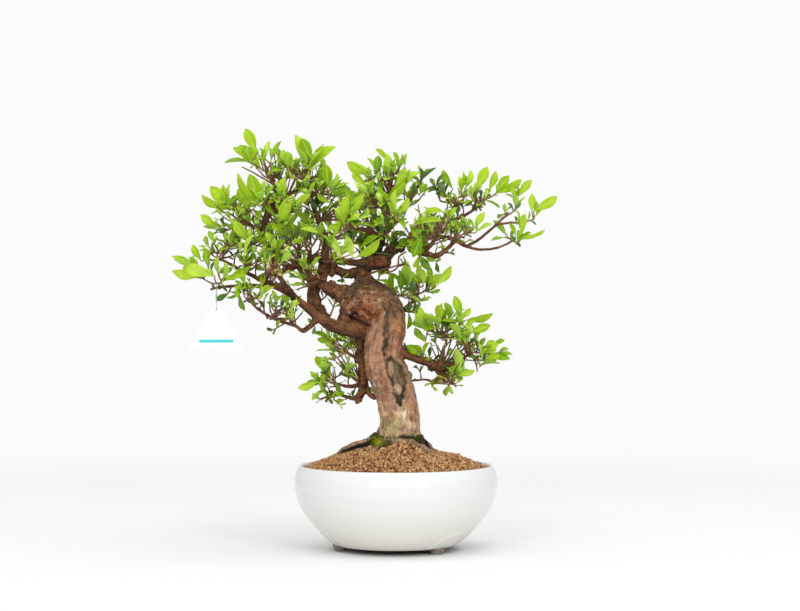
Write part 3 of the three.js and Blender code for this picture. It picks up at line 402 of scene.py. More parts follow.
def branching(seat, tips, turn):
    """Stem, fork and twigs of one spray. turn picks one of BENDS ways round its neighbours."""
    origin, radius = seat
    towards = np.mean(tips, axis=0) - origin
    span = np.linalg.norm(towards)
    towards = towards / span
    across = unit(np.cross(towards, UP if abs(towards[2]) < 0.95 else np.array([0.0, 1, 0])))
    above = np.cross(across, towards)
    aside = 0 if turn == 0 else span * (FORK["aside"] + FORK["aside_step"] * turn)
    angle = FORK["turn_step"] * turn
    fork = origin + towards * max(FORK["reach"] * span, radius + FORK["clear"])
    fork = fork + across * aside * math.cos(angle) + above * aside * math.sin(angle)
    onward = unit(fork - origin)
    twigs = []
    for tip in tips:
        length = np.linalg.norm(tip - fork)
        control = fork + (tip - fork) * FORK["lead"] + onward * FORK["bow"] * length
        twigs.append(bent(fork, control - UP * FORK["sag"] * length, tip, FORK["steps"]))
    free_span = np.linalg.norm(fork - origin) - radius
    stem = np.array([fork - onward * share * free_span for share in FORK["stem"]])
    return fork, onward, twigs, stem


def wood_balls(stem, twigs):
    guard = FORK["guard"]
    radii = np.linspace(TWIG["clear"], TWIG["tip"], FORK["steps"] + 1) + guard
    return [(stem, np.full(len(stem), TWIG["clear"] + guard))] + [(twig, radii) for twig in twigs]


def grow_wood(crowd, owner, seat, tips):
    """A spray's wood, bent the first way that is clear or else the clearest way."""
    best = None
    for turn in range(BENDS):
        if best and best[0] > 0:
            break
        fork, onward, twigs, stem = branching(seat, tips, turn)
        balls = wood_balls(stem, twigs)
        free = crowd.free(np.vstack([b[0] for b in balls]), np.concatenate([b[1] for b in balls]))
        if best is None or free > best[0]:
            best = (free, balls, Spray(owner, seat, fork, onward, twigs, []))
    for i, (points, radii) in enumerate(best[1]):
        crowd.place(f"{owner}.{i}", points, radii)
    return best[2]


def leaf_balls(leaf):
    edge = leaf.length * LEAF["aspect"] * 0.8
    balls = []
    for share in (0.25, 0.4, 0.55, 0.7, 0.85, 1):
        p = leaf.base + leaf.along * share * leaf.length
        p = p - leaf.face * leaf.droop * leaf.length * share**2
        balls += [p + leaf.across * s for s in ((-edge, 0, edge) if 0.3 < share < 0.8 else (0,))]
    return np.array(balls)


def around(axis, x, y, turn, lean):
    """The direction that leans from an axis, turned from x towards y, and the side it faces."""
    outward = x * math.cos(turn) + y * math.sin(turn)
    along = axis * math.cos(lean) + outward * math.sin(lean)
    face = axis * math.sin(lean) - outward * math.cos(lean)
    return along, face


def grow_leaf(crowd, own, hub, slot, draw, leaves):
    """One leaf of a rosette, at the first attempt that is clear of every other spray."""
    point, axis, x, y = hub
    turn, lean = SHOOTS[slot]
    low_down = LEAF["low_size"] if lean > LEAF["low_lean"] else 1
    size = LEAF["length"] * (LEAF["least"] + LEAF["spread"] * next(draw)) * low_down
    droop = LEAF["droop"][0] + LEAF["droop"][1] * next(draw)
    swing, tilt = LEAF["swing"] * (next(draw) - 0.5), LEAF["tilt"] * (next(draw) - 0.5)
    for attempt in range(LEAF_TRIES):
        sign = -1 if attempt % 2 else 1
        angle = math.radians(turn + swing + LEAF["turn_step"] * attempt * sign)
        pitch = math.radians(lean + tilt - LEAF["lean_step"] * (attempt % 3) * sign)
        along, face = around(axis, x, y, angle, pitch)
        length = size * (1 if attempt < LEAF["short_from"] else LEAF["short"])
        leaf = Leaf(point + along * TWIG["hub"] * 0.6, along, face, np.cross(face, along), length, droop)
        balls = leaf_balls(leaf)
        ball = LEAF["ball"]
        apart = all(between(balls, ball, other, ball) > -ball * LEAF["overlap"] for _, other in leaves)
        if apart and crowd.free(balls, ball, own) > 0:
            return leaf, balls
    return None


def grow_rosette(crowd, own, twig, draw):
    ahead = unit(twig[-1] - twig[-2])
    axis = unit(ahead * ROSETTE["along"] + UP * ROSETTE["up"])
    roll = 2 * math.pi * next(draw)
    x = unit(np.cross(axis, UP if abs(axis[2]) < 0.9 else np.array([1.0, 0, 0])))
    x = x * math.cos(roll) + np.cross(axis, x) * math.sin(roll)
    hub = (twig[-1], axis, x, np.cross(axis, x))
    leaves = []
    for slot in range(ROSETTE["fewest"] + math.floor(ROSETTE["more"] * next(draw))):
        grown = grow_leaf(crowd, own, hub, slot, draw, leaves)
        if grown:
            leaves.append(grown)
    for _, balls in leaves:
        crowd.place(own, balls, LEAF["ball"])
    return hub, [leaf for leaf, _ in leaves]


def grow_sprays():
    """Every spray with its wood and then, once all wood stands, its leaves."""
    crowd = Crowd()
    limbs = {name: smooth(path, 3) for name, path in LIMBS.items()}
    for points, radii in (smooth(TRUNK, 3), smooth(KNUCKLE, 3), *limbs.values()):
        crowd.place("wood", points, radii)
    taken = {name: [] for name in limbs}
    grown = []
    for k, (limb, *tips) in enumerate(SPRAYS):
        tips = np.array(tips, float)
        seat = seat_on(limbs[limb], tips.mean(axis=0), taken[limb])
        grown.append(grow_wood(crowd, f"spray_{k + 1:02d}", seat, tips))
    for k, spray in enumerate(grown):
        draw = draws(1000 + 37 * k)
        for i, twig in enumerate(spray.twigs):
            spray.rosettes.append(grow_rosette(crowd, f"{spray.owner}.{i + 1}", twig, draw))
    return grown


# ---- random steps -------------------------------------------------------------------------------


def jog(rng, reach):
    """A step of up to reach along each axis."""
    return np.array([rng.uniform(-reach, reach) for _ in range(3)])


def stray(rng, *spreads):
    """A step along each axis that is mostly within that axis's spread."""
    return np.array([rng.gauss(0, spread) for spread in spreads])


# ---- mesh making --------------------------------------------------------------------------------

Shape = namedtuple("Shape", "points faces uv under")
Run = namedtuple("Run", "points radii")


class Heap:
    """Small meshes gathered into one piece, with what their faces and corners carry."""

    def __init__(self):
        self.points, self.faces, self.grain = [], [], []
        self.slots, self.tint, self.under, self.uv = [], [], [], []
        self.count = 0

    def add(self, points, faces, slot=0, tint=0.5, under=None, uv=None, grain=None):
        self.points.append(points)
        self.faces += [tuple(i + self.count for i in face) for face in faces]
        self.count += len(points)
        self.slots += [slot] * len(faces)
        self.tint += [tint] * len(faces)
        self.under += [0.0] * len(faces) if under is None else under
        self.uv.append(np.zeros((sum(map(len, faces)), 2)) if uv is None else uv)
        self.grain.append(np.zeros((len(points), 3)) if grain is None else grain)

    def piece(self, name, finishes):
        mesh = bpy.data.meshes.new(name)
        mesh.from_pydata(in_frame(np.vstack(self.points)).tolist(), [], self.faces)
        mesh.polygons.foreach_set("material_index", self.slots)
        mesh.polygons.foreach_set("use_smooth", [True] * len(self.faces))
        for label, kind, domain, field, values in (
            ("tint", "FLOAT", "FACE", "value", self.tint),
            ("under", "FLOAT", "FACE", "value", self.under),
            ("grain", "FLOAT_VECTOR", "POINT", "vector", np.vstack(self.grain).ravel()),
        ):
            mesh.attributes.new(label, kind, domain).data.foreach_set(field, values)
        mesh.uv_layers.new(name="blade").data.foreach_set("uv", np.vstack(self.uv).ravel())
        for finish in finishes:
            mesh.materials.append(finish)
        mesh.update()
        piece = bpy.data.objects.new(name, mesh)
        bpy.context.collection.objects.link(piece)
        return piece


def settle(piece, slot, *nodes):
    """A finished piece rides with the bowl and stands for its nodes; slot is not used."""
    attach(piece, BODY)
    if nodes:
        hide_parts(*nodes)
    return piece


def alone(piece):
    bpy.ops.object.select_all(action="DESELECT")
    piece.select_set(True)
    bpy.context.view_layer.objects.active = piece


def started(name, add, **settings):
    """A primitive with nothing else selected."""
    bpy.ops.object.select_all(action="DESELECT")
    add(**settings)
    piece = bpy.context.object
    piece.name = piece.data.name = name
    return piece


def finished_with(piece, kind, **settings):
    """Adds a modifier and applies it."""
    alone(piece)
    modifier = piece.modifiers.new(kind.lower(), kind)
    for setting, value in settings.items():
        setattr(modifier, setting, value)
    bpy.ops.object.modifier_apply(modifier=modifier.name)


@contextmanager
def edited(piece):
    """Edit mode on one piece, with all of it selected."""
    alone(piece)
    bpy.ops.object.mode_set(mode="EDIT")
    bpy.ops.mesh.select_all(action="SELECT")
    yield
    bpy.ops.object.mode_set(mode="OBJECT")


def corners(mesh):
    points = np.empty(len(mesh.vertices) * 3)
    mesh.vertices.foreach_get("co", points)
    return points.reshape(-1, 3)


def set_corners(mesh, points):
    mesh.vertices.foreach_set("co", np.ascontiguousarray(points, float).ravel())
    mesh.update()


def taken_shape(piece):
    """The mesh of a primitive as a shape to copy. The primitive itself goes."""
    mesh = piece.data
    points = corners(mesh)
    faces = [tuple(face.vertices) for face in mesh.polygons]
    uv = np.empty(len(mesh.loops) * 2)
    mesh.uv_layers.active.data.foreach_get("uv", uv)
    under = [1.0 if face.normal.z < 0 else 0.0 for face in mesh.polygons]
    bpy.data.objects.remove(piece)
    bpy.data.meshes.remove(mesh)
    return Shape(points, faces, uv.reshape(-1, 2), under)


def frames(points):
    """Directions along a run of points, and two across it that are kept from twisting."""
    ahead = np.gradient(points, axis=0)
    ahead /= np.linalg.norm(ahead, axis=1)[:, None]
    side = np.array([0.0, 1, 0] if abs(ahead[0][0]) > 0.9 else [1.0, 0, 0])
    sides = []
    for direction in ahead:
        side = unit(side - direction * (direction @ side))
        sides.append(side)
    return ahead, np.array(sides), np.cross(ahead, sides)


def lengths(points):
    """How far along a run each of its points lies."""
    return np.append(0, np.cumsum(np.linalg.norm(np.diff(points, axis=0), axis=1)))


def ringed(rings, sides):
    """The faces of a skin of rings that is closed by a point at each end, the two last of its points."""

    def after(ring, j):
        return ring * sides + (j + 1) % sides

    start, last = rings * sides, rings - 1
    faces = [
        (ring * sides + j, after(ring, j), after(ring + 1, j), (ring + 1) * sides + j)
        for ring in range(last)
        for j in range(sides)
    ]
    faces += [(after(0, j), j, start) for j in range(sides)]
    return faces + [(last * sides + j, after(last, j), start + 1) for j in range(sides)]


def tube(run, sides, swell=None, tip=0.8):
    """A closed tube: points, faces and grain, which runs along it. Its far end is drawn to a tip."""
    points, radii = run
    _, side, other = frames(points)
    angle = np.arange(sides) * 2 * math.pi / sides
    rings = radii[:, None] * (np.ones((len(points), sides)) if swell is None else swell(angle, points))
    wide, deep = rings * np.cos(angle), rings * np.sin(angle)
    body = points[:, None] + wide[..., None] * side[:, None] + deep[..., None] * other[:, None]
    end = points[-1] + unit(points[-1] - points[-2]) * radii[-1] * tip
    skin = np.vstack([body.reshape(-1, 3), points[:1], [end]])
    arc = np.broadcast_to(lengths(points)[:, None], wide.shape)
    grain = np.dstack([wide, deep, arc]).reshape(-1, 3)
    grain = np.vstack([grain, [[0, 0, 0], [0, 0, arc[-1, 0]]]])
    return skin, ringed(len(points), sides), grain


def tapered(points, first, last):
    return Run(points, np.linspace(first, last, len(points)))


# ---- finishes -----------------------------------------------------------------------------------


def linear(ink):
    """An sRGB hex colour as the linear colour that a shader takes."""
    parts = [int(ink[i : i + 2], 16) / 255 for i in (1, 3, 5)]
    return (*[c / 12.92 if c <= 0.04045 else ((c + 0.055) / 1.055) ** 2.4 for c in parts], 1.0)


def add(tree, kind, links=None, stops=None, **settings):
    """Adds a node: settings are its own, links are its inputs, as values or other nodes' outputs."""
    made = tree.nodes.new("ShaderNode" + kind)
    for name, value in settings.items():
        setattr(made, name, value)
    for spot, (position, ink) in enumerate(stops or ()):
        ramp = made.color_ramp.elements
        stop = ramp[spot] if spot < 2 else ramp.new(position)
        stop.position, stop.color = position, linear(ink) if isinstance(ink, str) else (ink, ink, ink, 1)
    for name, value in (links or {}).items():
        if isinstance(value, bpy.types.NodeSocket):
            tree.links.new(value, made.inputs[name])
        else:
            made.inputs[name].default_value = value
    return made


def finish(name, build, **surface):
    """A material: build(tree) gives the linked sockets of its surface, and surface the plain ones."""
    material = bpy.data.materials.new(name)
    material.use_nodes = True
    tree = material.node_tree
    tree.nodes.clear()
    links = {**surface, **build(tree)}
    through = links.pop("through", None)
    shader = add(tree, "BsdfPrincipled", links).outputs[0]
    if through:
        share, ink = through
        glow = add(tree, "BsdfTranslucent", {"Color": ink}).outputs[0]
        shader = add(tree, "MixShader", {0: share, 1: shader, 2: glow}).outputs[0]
    add(tree, "OutputMaterial", {"Surface": shader})
    return material


def place_in(tree):
    return add(tree, "TexCoord").outputs["Object"]


def carried_by(tree, name, output="Fac"):
    """What a mesh carries for its finish, such as a face's tint."""
    return add(tree, "Attribute", attribute_name=name).outputs[output]


def speckle(tree, place, scale, detail=2.0):
    return add(tree, "TexNoise", {"Vector": place, "Scale": scale, "Detail": detail}).outputs[0]


def shades(tree, factor, *stops):
    return add(tree, "ValToRGB", {0: factor}, stops=stops).outputs[0]


def maths(tree, operation, *values):
    return add(tree, "Math", dict(enumerate(values)), operation=operation).outputs[0]


def multiplied(tree, factor, ink, layer):
    mixer = {"Factor": factor, 6: ink, 7: layer}
    return add(tree, "Mix", mixer, data_type="RGBA", blend_type="MULTIPLY").outputs[2]


def bump(tree, strength, distance, height):
    return add(tree, "Bump", {"Strength": strength, "Distance": distance, "Height": height}).outputs[0]


def glazed(tree):
    # A thick white feldspar glaze on a thrown bowl: faint rings 6 mm apart, cool where it is thick
    # at the shoulder and warmer and a little darker towards the foot: partly thin glaze, partly painted shade.
    place = place_in(tree)
    rings = add(tree, "Mapping", {"Vector": place, "Scale": (7, 7, 160)}).outputs[0]
    bands = speckle(tree, rings, 1.0, 3.0)
    mixed = add(tree, "Mix", {"Factor": 0.5, 2: bands, 3: speckle(tree, place, 24.0)}).outputs[0]
    height = add(tree, "SeparateXYZ", {0: place}).outputs["Z"]
    level = add(tree, "MapRange", {0: height, 1: 0.0, 2: 0.085}).outputs[0]
    level = maths(tree, "MULTIPLY_ADD", mixed, 0.16, level)
    body = shades(tree, level, (0.08, "#DDDBD0"), (0.4, "#DEDDD7"), (0.75, "#DDDEDC"), (1.0, "#DCDFDF"))
    return {"Base Color": body, "Normal": bump(tree, 0.05, 0.0004, bands)}


def bare_clay(tree):
    # The unglazed foot: wood-fired grey-brown stoneware, gritty, with darker grog showing.
    grit = speckle(tree, place_in(tree), 900.0, 3.0)
    body = shades(tree, grit, (0.35, "#5E564E"), (0.65, "#938A80"))
    return {"Base Color": body, "Normal": bump(tree, 0.5, 0.0003, grit)}


def underside_shade_clay(tree):
    # The bowl's underside, the same clay painted near black: painted shade under the bowl.
    grit = speckle(tree, place_in(tree), 900.0, 3.0)
    return {"Base Color": shades(tree, grit, (0.35, "#231F1C"), (0.65, "#403933"))}


def baked_granules(tree):
    # Akadama, a baked clay granule: each its own shade of tan and orange, dusty, a few nearly brown.
    stops = [(0.0, "#5E3A24"), (0.16, "#8E5833"), (0.3, "#AE7546"), (0.55, "#BD8D5A"), (0.8, "#C99E6A")]
    body = shades(tree, carried_by(tree, "tint"), *stops, (1.0, "#D9B88A"))
    dust = speckle(tree, place_in(tree), 1400.0)
    ink = multiplied(tree, 1.0, body, shades(tree, dust, (0.3, 0.72), (0.7, 1.12)))
    return {"Base Color": ink, "Normal": bump(tree, 0.4, 0.0003, dust)}


def soil_bed(tree):
    # The fine crumbs under the granules, painted dark as the shade in the gaps between them.
    crumb = speckle(tree, place_in(tree), 500.0, 4.0)
    body = shades(tree, crumb, (0.35, "#2E1C10"), (0.65, "#5F3F26"))
    return {"Base Color": body, "Normal": bump(tree, 0.8, 0.0008, crumb)}


def old_bark(tree):
    # Weathered azalea bark: thin, flaking, mottled. Its broad colours, with painted light and shade,
    # are on the mesh as tone, with how flaky it is; grain runs along the limb, so that fissures do,
    # one every 3 to 4 mm.
    grain, place = carried_by(tree, "grain", "Vector"), place_in(tree)
    streak = add(tree, "Mapping", {"Vector": grain, "Scale": (0.34, 0.34, 0.09)}).outputs[0]
    fissures = speckle(tree, streak, 1.0, 5.0)
    flakes = speckle(tree, place, 520.0, 4.0)
    patches = speckle(tree, place, 130.0, 3.0)
    # Fissures and low flakes darker where the bump sinks: partly the bark's colour, partly painted shade.
    dark = shades(tree, fissures, (0.32, 0.5), (0.45, 0.94), (0.7, 1.12))
    speck = shades(tree, flakes, (0.37, 0.36), (0.48, 0.96), (0.66, 1.3))
    warm = shades(tree, patches, (0.38, "#F0C9AC"), (0.5, "#FFF8EA"), (0.64, "#ECE3C6"))
    ink, flaky = (carried_by(tree, "tone", output) for output in ("Color", "Alpha"))
    for factor, layer in ((1.0, dark), (flaky, speck), (0.8, warm)):
        ink = multiplied(tree, factor, ink, layer)
    return {"Base Color": ink, "Normal": bump(tree, 0.7, 0.0007, maths(tree, "ADD", fissures, flakes))}


def shoot_bark(tree):
    # This and last year's twigs: smooth, reddish brown, greener near the leaves.
    body = shades(tree, carried_by(tree, "tint"), (0.0, "#4C2D1E"), (0.5, "#825439"), (1.0, "#A58058"))
    knots = speckle(tree, carried_by(tree, "grain", "Vector"), 0.9, 3.0)
    ink = multiplied(tree, 1.0, body, shades(tree, knots, (0.35, 0.65), (0.65, 1.2)))
    return {"Base Color": ink, "Normal": bump(tree, 0.4, 0.0003, knots)}


def blade_ink(tree, stops, back, rib, spread):
    """Colour and relief of a leaf: its own shade, a pale rib, fine side veins and a paler back."""
    cloud = speckle(tree, place_in(tree), 110.0)
    drift = add(tree, "MapRange", {0: cloud, 1: 0.3, 2: 0.7, 3: -spread, 4: spread}).outputs[0]
    ink = shades(tree, maths(tree, "ADD", carried_by(tree, "tint"), drift), *stops)
    spot = add(tree, "UVMap", uv_map="blade").outputs[0]
    across = add(tree, "SeparateXYZ", {0: spot}).outputs
    off_rib = maths(tree, "ABSOLUTE", maths(tree, "SUBTRACT", across[0], 0.5))
    on_rib = add(tree, "MapRange", {0: off_rib, 1: 0.03, 2: 0.1, 3: 0.6, 4: 0.0}).outputs[0]
    ink = add(tree, "Mix", {0: on_rib, 6: ink, 7: linear(rib)}, data_type="RGBA").outputs[2]
    slant = maths(tree, "MULTIPLY_ADD", off_rib, -1.1, across[1])
    veins = maths(tree, "SINE", maths(tree, "MULTIPLY", slant, 52.0))
    behind = maths(tree, "MULTIPLY", carried_by(tree, "under"), 0.75)
    ink = add(tree, "Mix", {0: behind, 6: ink, 7: linear(back)}, data_type="RGBA").outputs[2]
    return ink, bump(tree, 0.25, 0.0002, veins)


def spring_leaf(tree):
    # This spring's leaf: thin, soft, yellow-green, satin, and it glows with light behind it.
    stops = [(0.0, "#6C9E08"), (0.3, "#A4C60E"), (0.65, "#C8DF36"), (1.0, "#E6F684")]
    ink, relief = blade_ink(tree, stops, "#BAD862", "#D4E67C", 0.1)
    lit = add(tree, "HueSaturation", {"Saturation": 1.1, "Value": 1.3, "Color": ink}).outputs[0]
    return {"Base Color": ink, "Normal": relief, "through": (0.42, lit)}


def winter_leaf(tree):
    # Last year's leaf: small, leathery, dark green with a low gloss.
    stops = [(0.0, "#354F0E"), (0.5, "#5C8218"), (1.0, "#90B42E")]
    ink, relief = blade_ink(tree, stops, "#6F8F5E", "#5E8A48", 0.15)
    return {"Base Color": ink, "Normal": relief, "through": (0.15, ink)}


def bud_scale(tree):
    # A bud's overlapping scales: yellow-green while it lives, papery pinkish brown once it has shed.
    stops = [(0.0, "#7A4E3C"), (0.35, "#C09A80"), (0.45, "#A8A03C"), (1.0, "#CBD660")]
    return {"Base Color": shades(tree, carried_by(tree, "tint"), *stops)}


def cushion_moss(tree):
    # Cushion moss: bright where it is lit and damp, dark green between.
    ink = shades(tree, carried_by(tree, "tint"), (0.0, "#2A330C"), (0.45, "#67720F"), (1.0, "#D2CF1C"))
    return {"Base Color": ink, "through": (0.25, ink)}


def moulded_label(tree):
    # A punched sheet of white plastic, faintly mottled from the rollers.
    mottle = speckle(tree, place_in(tree), 260.0)
    body = shades(tree, mottle, (0.3, "#F8F9F8"), (0.7, "#FDFDFC"))
    return {"Base Color": body, "Normal": bump(tree, 0.08, 0.0002, mottle)}


def label_ink(tree):
    # A plain turquoise band, screen printed: an even film with a slight tooth.
    tooth = speckle(tree, place_in(tree), 1500.0)
    return {"Base Color": shades(tree, tooth, (0.3, "#33BFC4"), (0.7, "#4FCFD2"))}


def drawn_steel(tree):
    # Thin drawn wire, dulled: fine scratches along its length.
    scratch = add(tree, "Mapping", {"Vector": place_in(tree), "Scale": (4000, 4000, 200)}).outputs[0]
    return {"Base Color": shades(tree, speckle(tree, scratch, 1.0), (0.3, "#B5B4B2"), (0.7, "#D8D7D4"))}


def drain_mesh(tree):
    # Black polyethylene netting, with the sheen of its moulding.
    grit = speckle(tree, place_in(tree), 700.0)
    return {"Base Color": shades(tree, grit, (0.3, "#1B1C1C"), (0.7, "#2B2C2C"))}


GLAZE = finish("white_feldspar_glaze", glazed, **{"Roughness": 0.16, "IOR": 1.5, "Coat Weight": 0.4})
CLAY = finish("bare_stoneware", bare_clay, Roughness=0.9)
UNDERSIDE_SHADE = finish("stoneware_painted_shade", underside_shade_clay, Roughness=0.8)
GRANULES = finish("akadama_granules", baked_granules, Roughness=0.95)
SHADED_BED = finish("akadama_crumbs_painted_shade", soil_bed, Roughness=1.0)
BARK = finish("weathered_azalea_bark", old_bark, Roughness=0.82, **{"Specular IOR Level": 0.25})
SHOOT = finish("young_twig_bark", shoot_bark, Roughness=0.6)
SPRING = finish("spring_azalea_leaf", spring_leaf, Roughness=0.45, **{"Specular IOR Level": 0.22})
WINTER = finish("winter_azalea_leaf", winter_leaf, Roughness=0.42, **{"Specular IOR Level": 0.35})
BUD = finish("azalea_bud_scales", bud_scale, Roughness=0.6)
MOSSES = finish("cushion_moss", cushion_moss, Roughness=0.9)
LABEL = finish("white_polystyrene_label", moulded_label, Roughness=0.35)
BAND = finish("turquoise_screen_ink", label_ink, Roughness=0.45)
STEEL = finish("drawn_steel_wire", drawn_steel, Metallic=0.35, Roughness=0.45)
NETTING = finish("polyethylene_netting", drain_mesh, Roughness=0.55)


# ---- bowl and soil ------------------------------------------------------------------------------


def curve_through(points, step):
    """Points about a step apart along a smooth curve through an outline's own points."""
    counts = [max(1, round(math.dist(a, b) / step)) for a, b in zip(points, points[1:])]
    padded = np.array([points[0], *points, points[-1]], float)
    made = [curved(*padded[k : k + 4], np.arange(n)[:, None] / n) for k, n in enumerate(counts)]
    return np.vstack(made)


def bowl_profile():
    """The wall's closed section, as [radius, height], with the thrower's rings on the outside."""
    outside = curve_through(BOWL_OUTSIDE, 1.1)
    turn = outside[:, 1] * 2 * math.pi / THROWING["pitch"]
    fade = ease(8, 16, outside[:, 1])
    outside[:, 0] += THROWING["depth"] * fade * np.sin(turn + 1.3 * np.sin(turn * 0.31))
    rest = [curve_through(BOWL_LIP, 0.5), curve_through(BOWL_INSIDE, 6), curve_through(DRAIN, 2)]
    return np.vstack([outside, *rest, [BOWL_OUTSIDE[0]]])[:-1]


def pads_on(points):
    """How far the wall stands out where a foot is pressed on to it, in millimetres."""
    radius, height = np.hypot(points[:, 0], points[:, 1]), points[:, 2]
    out = np.zeros(len(points))
    for angle in FOOT_ANGLES:
        away = np.arctan2(points[:, 1], points[:, 0]) - math.radians(angle)
        across = ((away + math.pi) % (2 * math.pi) - math.pi) * 75
        middle, tall = (PAD["low"] + PAD["high"]) / 2, (PAD["high"] - PAD["low"]) / 2
        up = (height - middle) / tall
        reach = np.hypot((across - up * PAD["lean"]) / PAD["half"], up)
        out += ease(1, 1 - PAD["edge"] / PAD["half"] * 2, reach) * PAD["proud"]
    return np.where(radius > BOWL_OUTSIDE[0][0], out, 0) * ease(3, 8, height)


def thrown_bowl():
    """The bowl: its section spun round the axis, as on a wheel."""
    profile = bowl_profile()
    piece = started("bowl_wall", bpy.ops.mesh.primitive_circle_add, vertices=len(profile), radius=1)
    points = np.column_stack([profile[:, 0], np.zeros(len(profile)), profile[:, 1]])
    set_corners(piece.data, points * MM)
    with edited(piece):
        bpy.ops.mesh.spin(steps=BOWL_STEPS, angle=2 * math.pi, center=(0, 0, 0), axis=(0, 0, 1))
        bpy.ops.mesh.select_all(action="SELECT")
        bpy.ops.mesh.remove_doubles(threshold=0.05 * MM)
        bpy.ops.mesh.normals_make_consistent(inside=False)
    points = corners(piece.data) / MM
    radius = np.hypot(points[:, 0], points[:, 1])
    outside = (radius > 56) & (points[:, 2] < BOWL_OUTSIDE[-1][1])
    inner = np.interp(points[:, 2], *np.array(BOWL_INSIDE[::-1]).T[::-1])
    stretch = np.where(outside & (radius > inner + 1), 1 + pads_on(points) / radius, 1)
    points[:, :2] *= stretch[:, None]
    set_corners(piece.data, in_frame(points))
    bpy.ops.object.shade_smooth_by_angle(angle=math.radians(40))
    for finish in (GLAZE, UNDERSIDE_SHADE):
        piece.data.materials.append(finish)
    for face in piece.data.polygons:
        # Downward faces low on the bowl take the near-black clay: painted shade under it.
        face.material_index = int(face.normal.z < -0.9 and face.center.z < 6 * MM)
    return settle(piece, "glaze", "bowl")


def bowl_feet():
    """Three stubs of bare clay, each a flattened ball cut flat where it stands."""
    feet = []
    for k, angle in enumerate(FOOT_ANGLES):
        turn = math.radians(angle)
        spot = np.array([math.cos(turn), math.sin(turn), 0]) * FOOT["radius"]
        ball = {"segments": 28, "ring_count": 14, "radius": 1}
        foot = started(f"bowl_foot_{k + 1}", bpy.ops.mesh.primitive_uv_sphere_add, **ball)
        points = corners(foot.data) * [FOOT["deep"], FOOT["half"], FOOT["tall"]]
        wobble = [1 + 0.05 * noise.noise(Vector(p) * 0.35 + Vector((k, 0, 0))) for p in points]
        points = points * np.array(wobble)[:, None]
        turned = np.column_stack([
            points[:, 0] * math.cos(turn) - points[:, 1] * math.sin(turn),
            points[:, 0] * math.sin(turn) + points[:, 1] * math.cos(turn),
            points[:, 2],
        ])
        set_corners(foot.data, in_frame(turned + spot + [0, 0, FOOT["middle"] + FOOT["tall"] * 0.45]))
        with edited(foot):
            bpy.ops.mesh.bisect(plane_co=(0, 0, 0), plane_no=(0, 0, 1), use_fill=True, clear_inner=True)
        bpy.ops.object.shade_smooth_by_angle(angle=math.radians(50))
        foot.data.materials.append(CLAY)
        feet.append(settle(foot, "glaze", "bowl"))
    return feet


def heaped(x, y, spot, reach):
    (left, front), (wide, deep) = spot, reach
    return np.exp(-(((x - left) / wide) ** 2) - ((y - front) / deep) ** 2)


def soil_height(x, y):
    """The mound's surface, with its small hollows and heaps."""
    share = np.clip(np.hypot(x, y) / SOIL["radius"], 0, 1)
    rolling = 0.7 * np.sin(0.11 * x + 1.3) * np.sin(0.13 * y) + 0.4 * np.sin(0.31 * x - 0.27 * y)
    heap = SOIL["heap_tall"] * heaped(x, y, SOIL["heap"], SOIL["heap_reach"])
    heap = heap - SOIL["dip_deep"] * heaped(x, y, SOIL["dip"], SOIL["dip_reach"])
    return SOIL["rim"] + SOIL["rise"] * (1 - share ** SOIL["power"]) + rolling * (1 - share**6) + heap


def bedded_soil():
    """The soil under the granules: it fills the bowl and heaps up round the trunk."""
    rings, steps = 26, 96
    angle = np.arange(steps) * 2 * math.pi / steps
    inside = [[r - 0.6, z + (0.3 if k == 0 else 0)] for k, (r, z) in enumerate(BOWL_INSIDE[::-1][1:])]
    mound = [[SOIL["radius"] * (1 - i / rings), None] for i in range(rings)]
    points = []
    for radius, height in inside[:-1] + mound:
        x, y = radius * np.cos(angle), radius * np.sin(angle)
        top = soil_height(x, y) - BED_DROP
        points.append(np.column_stack([x, y, top if height is None else np.full(steps, height)]))
    ends = [[0, 0, points[0][0][2]], [0, 0, float(soil_height(0, 0)) - BED_DROP]]
    heap = Heap()
    heap.add(np.vstack([*points, ends]), ringed(len(points), steps))
    return settle(heap.piece("soil_bed", [SHADED_BED]), "granules", "soil")


def granule_shapes():
    """Three granules, each a small ball of few faces knocked out of round."""
    shapes = []
    for k in range(3):
        stone = started(f"granule_{k}", bpy.ops.mesh.primitive_ico_sphere_add, subdivisions=1, radius=1)
        bpy.ops.object.mode_set(mode="EDIT")
        bpy.ops.transform.vertex_random(offset=0.22, uniform=0.6, normal=0.3, seed=11 + k)
        bpy.ops.object.mode_set(mode="OBJECT")
        shapes.append(taken_shape(stone))
    return shapes


def turned_about(rng, points):
    """Points turned to some direction in space."""
    a, b, c = (rng.uniform(0, 2 * math.pi) for _ in range(3))
    ca, sa, cb, sb, cc, sc = math.cos(a), math.sin(a), math.cos(b), math.sin(b), math.cos(c), math.sin(c)
    turn = np.array([[ca, -sa, 0], [sa, ca, 0], [0, 0, 1]]) @ np.array([[cb, 0, sb], [0, 1, 0], [-sb, 0, cb]])
    return points @ (turn @ np.array([[1, 0, 0], [0, cc, -sc], [0, sc, cc]])).T


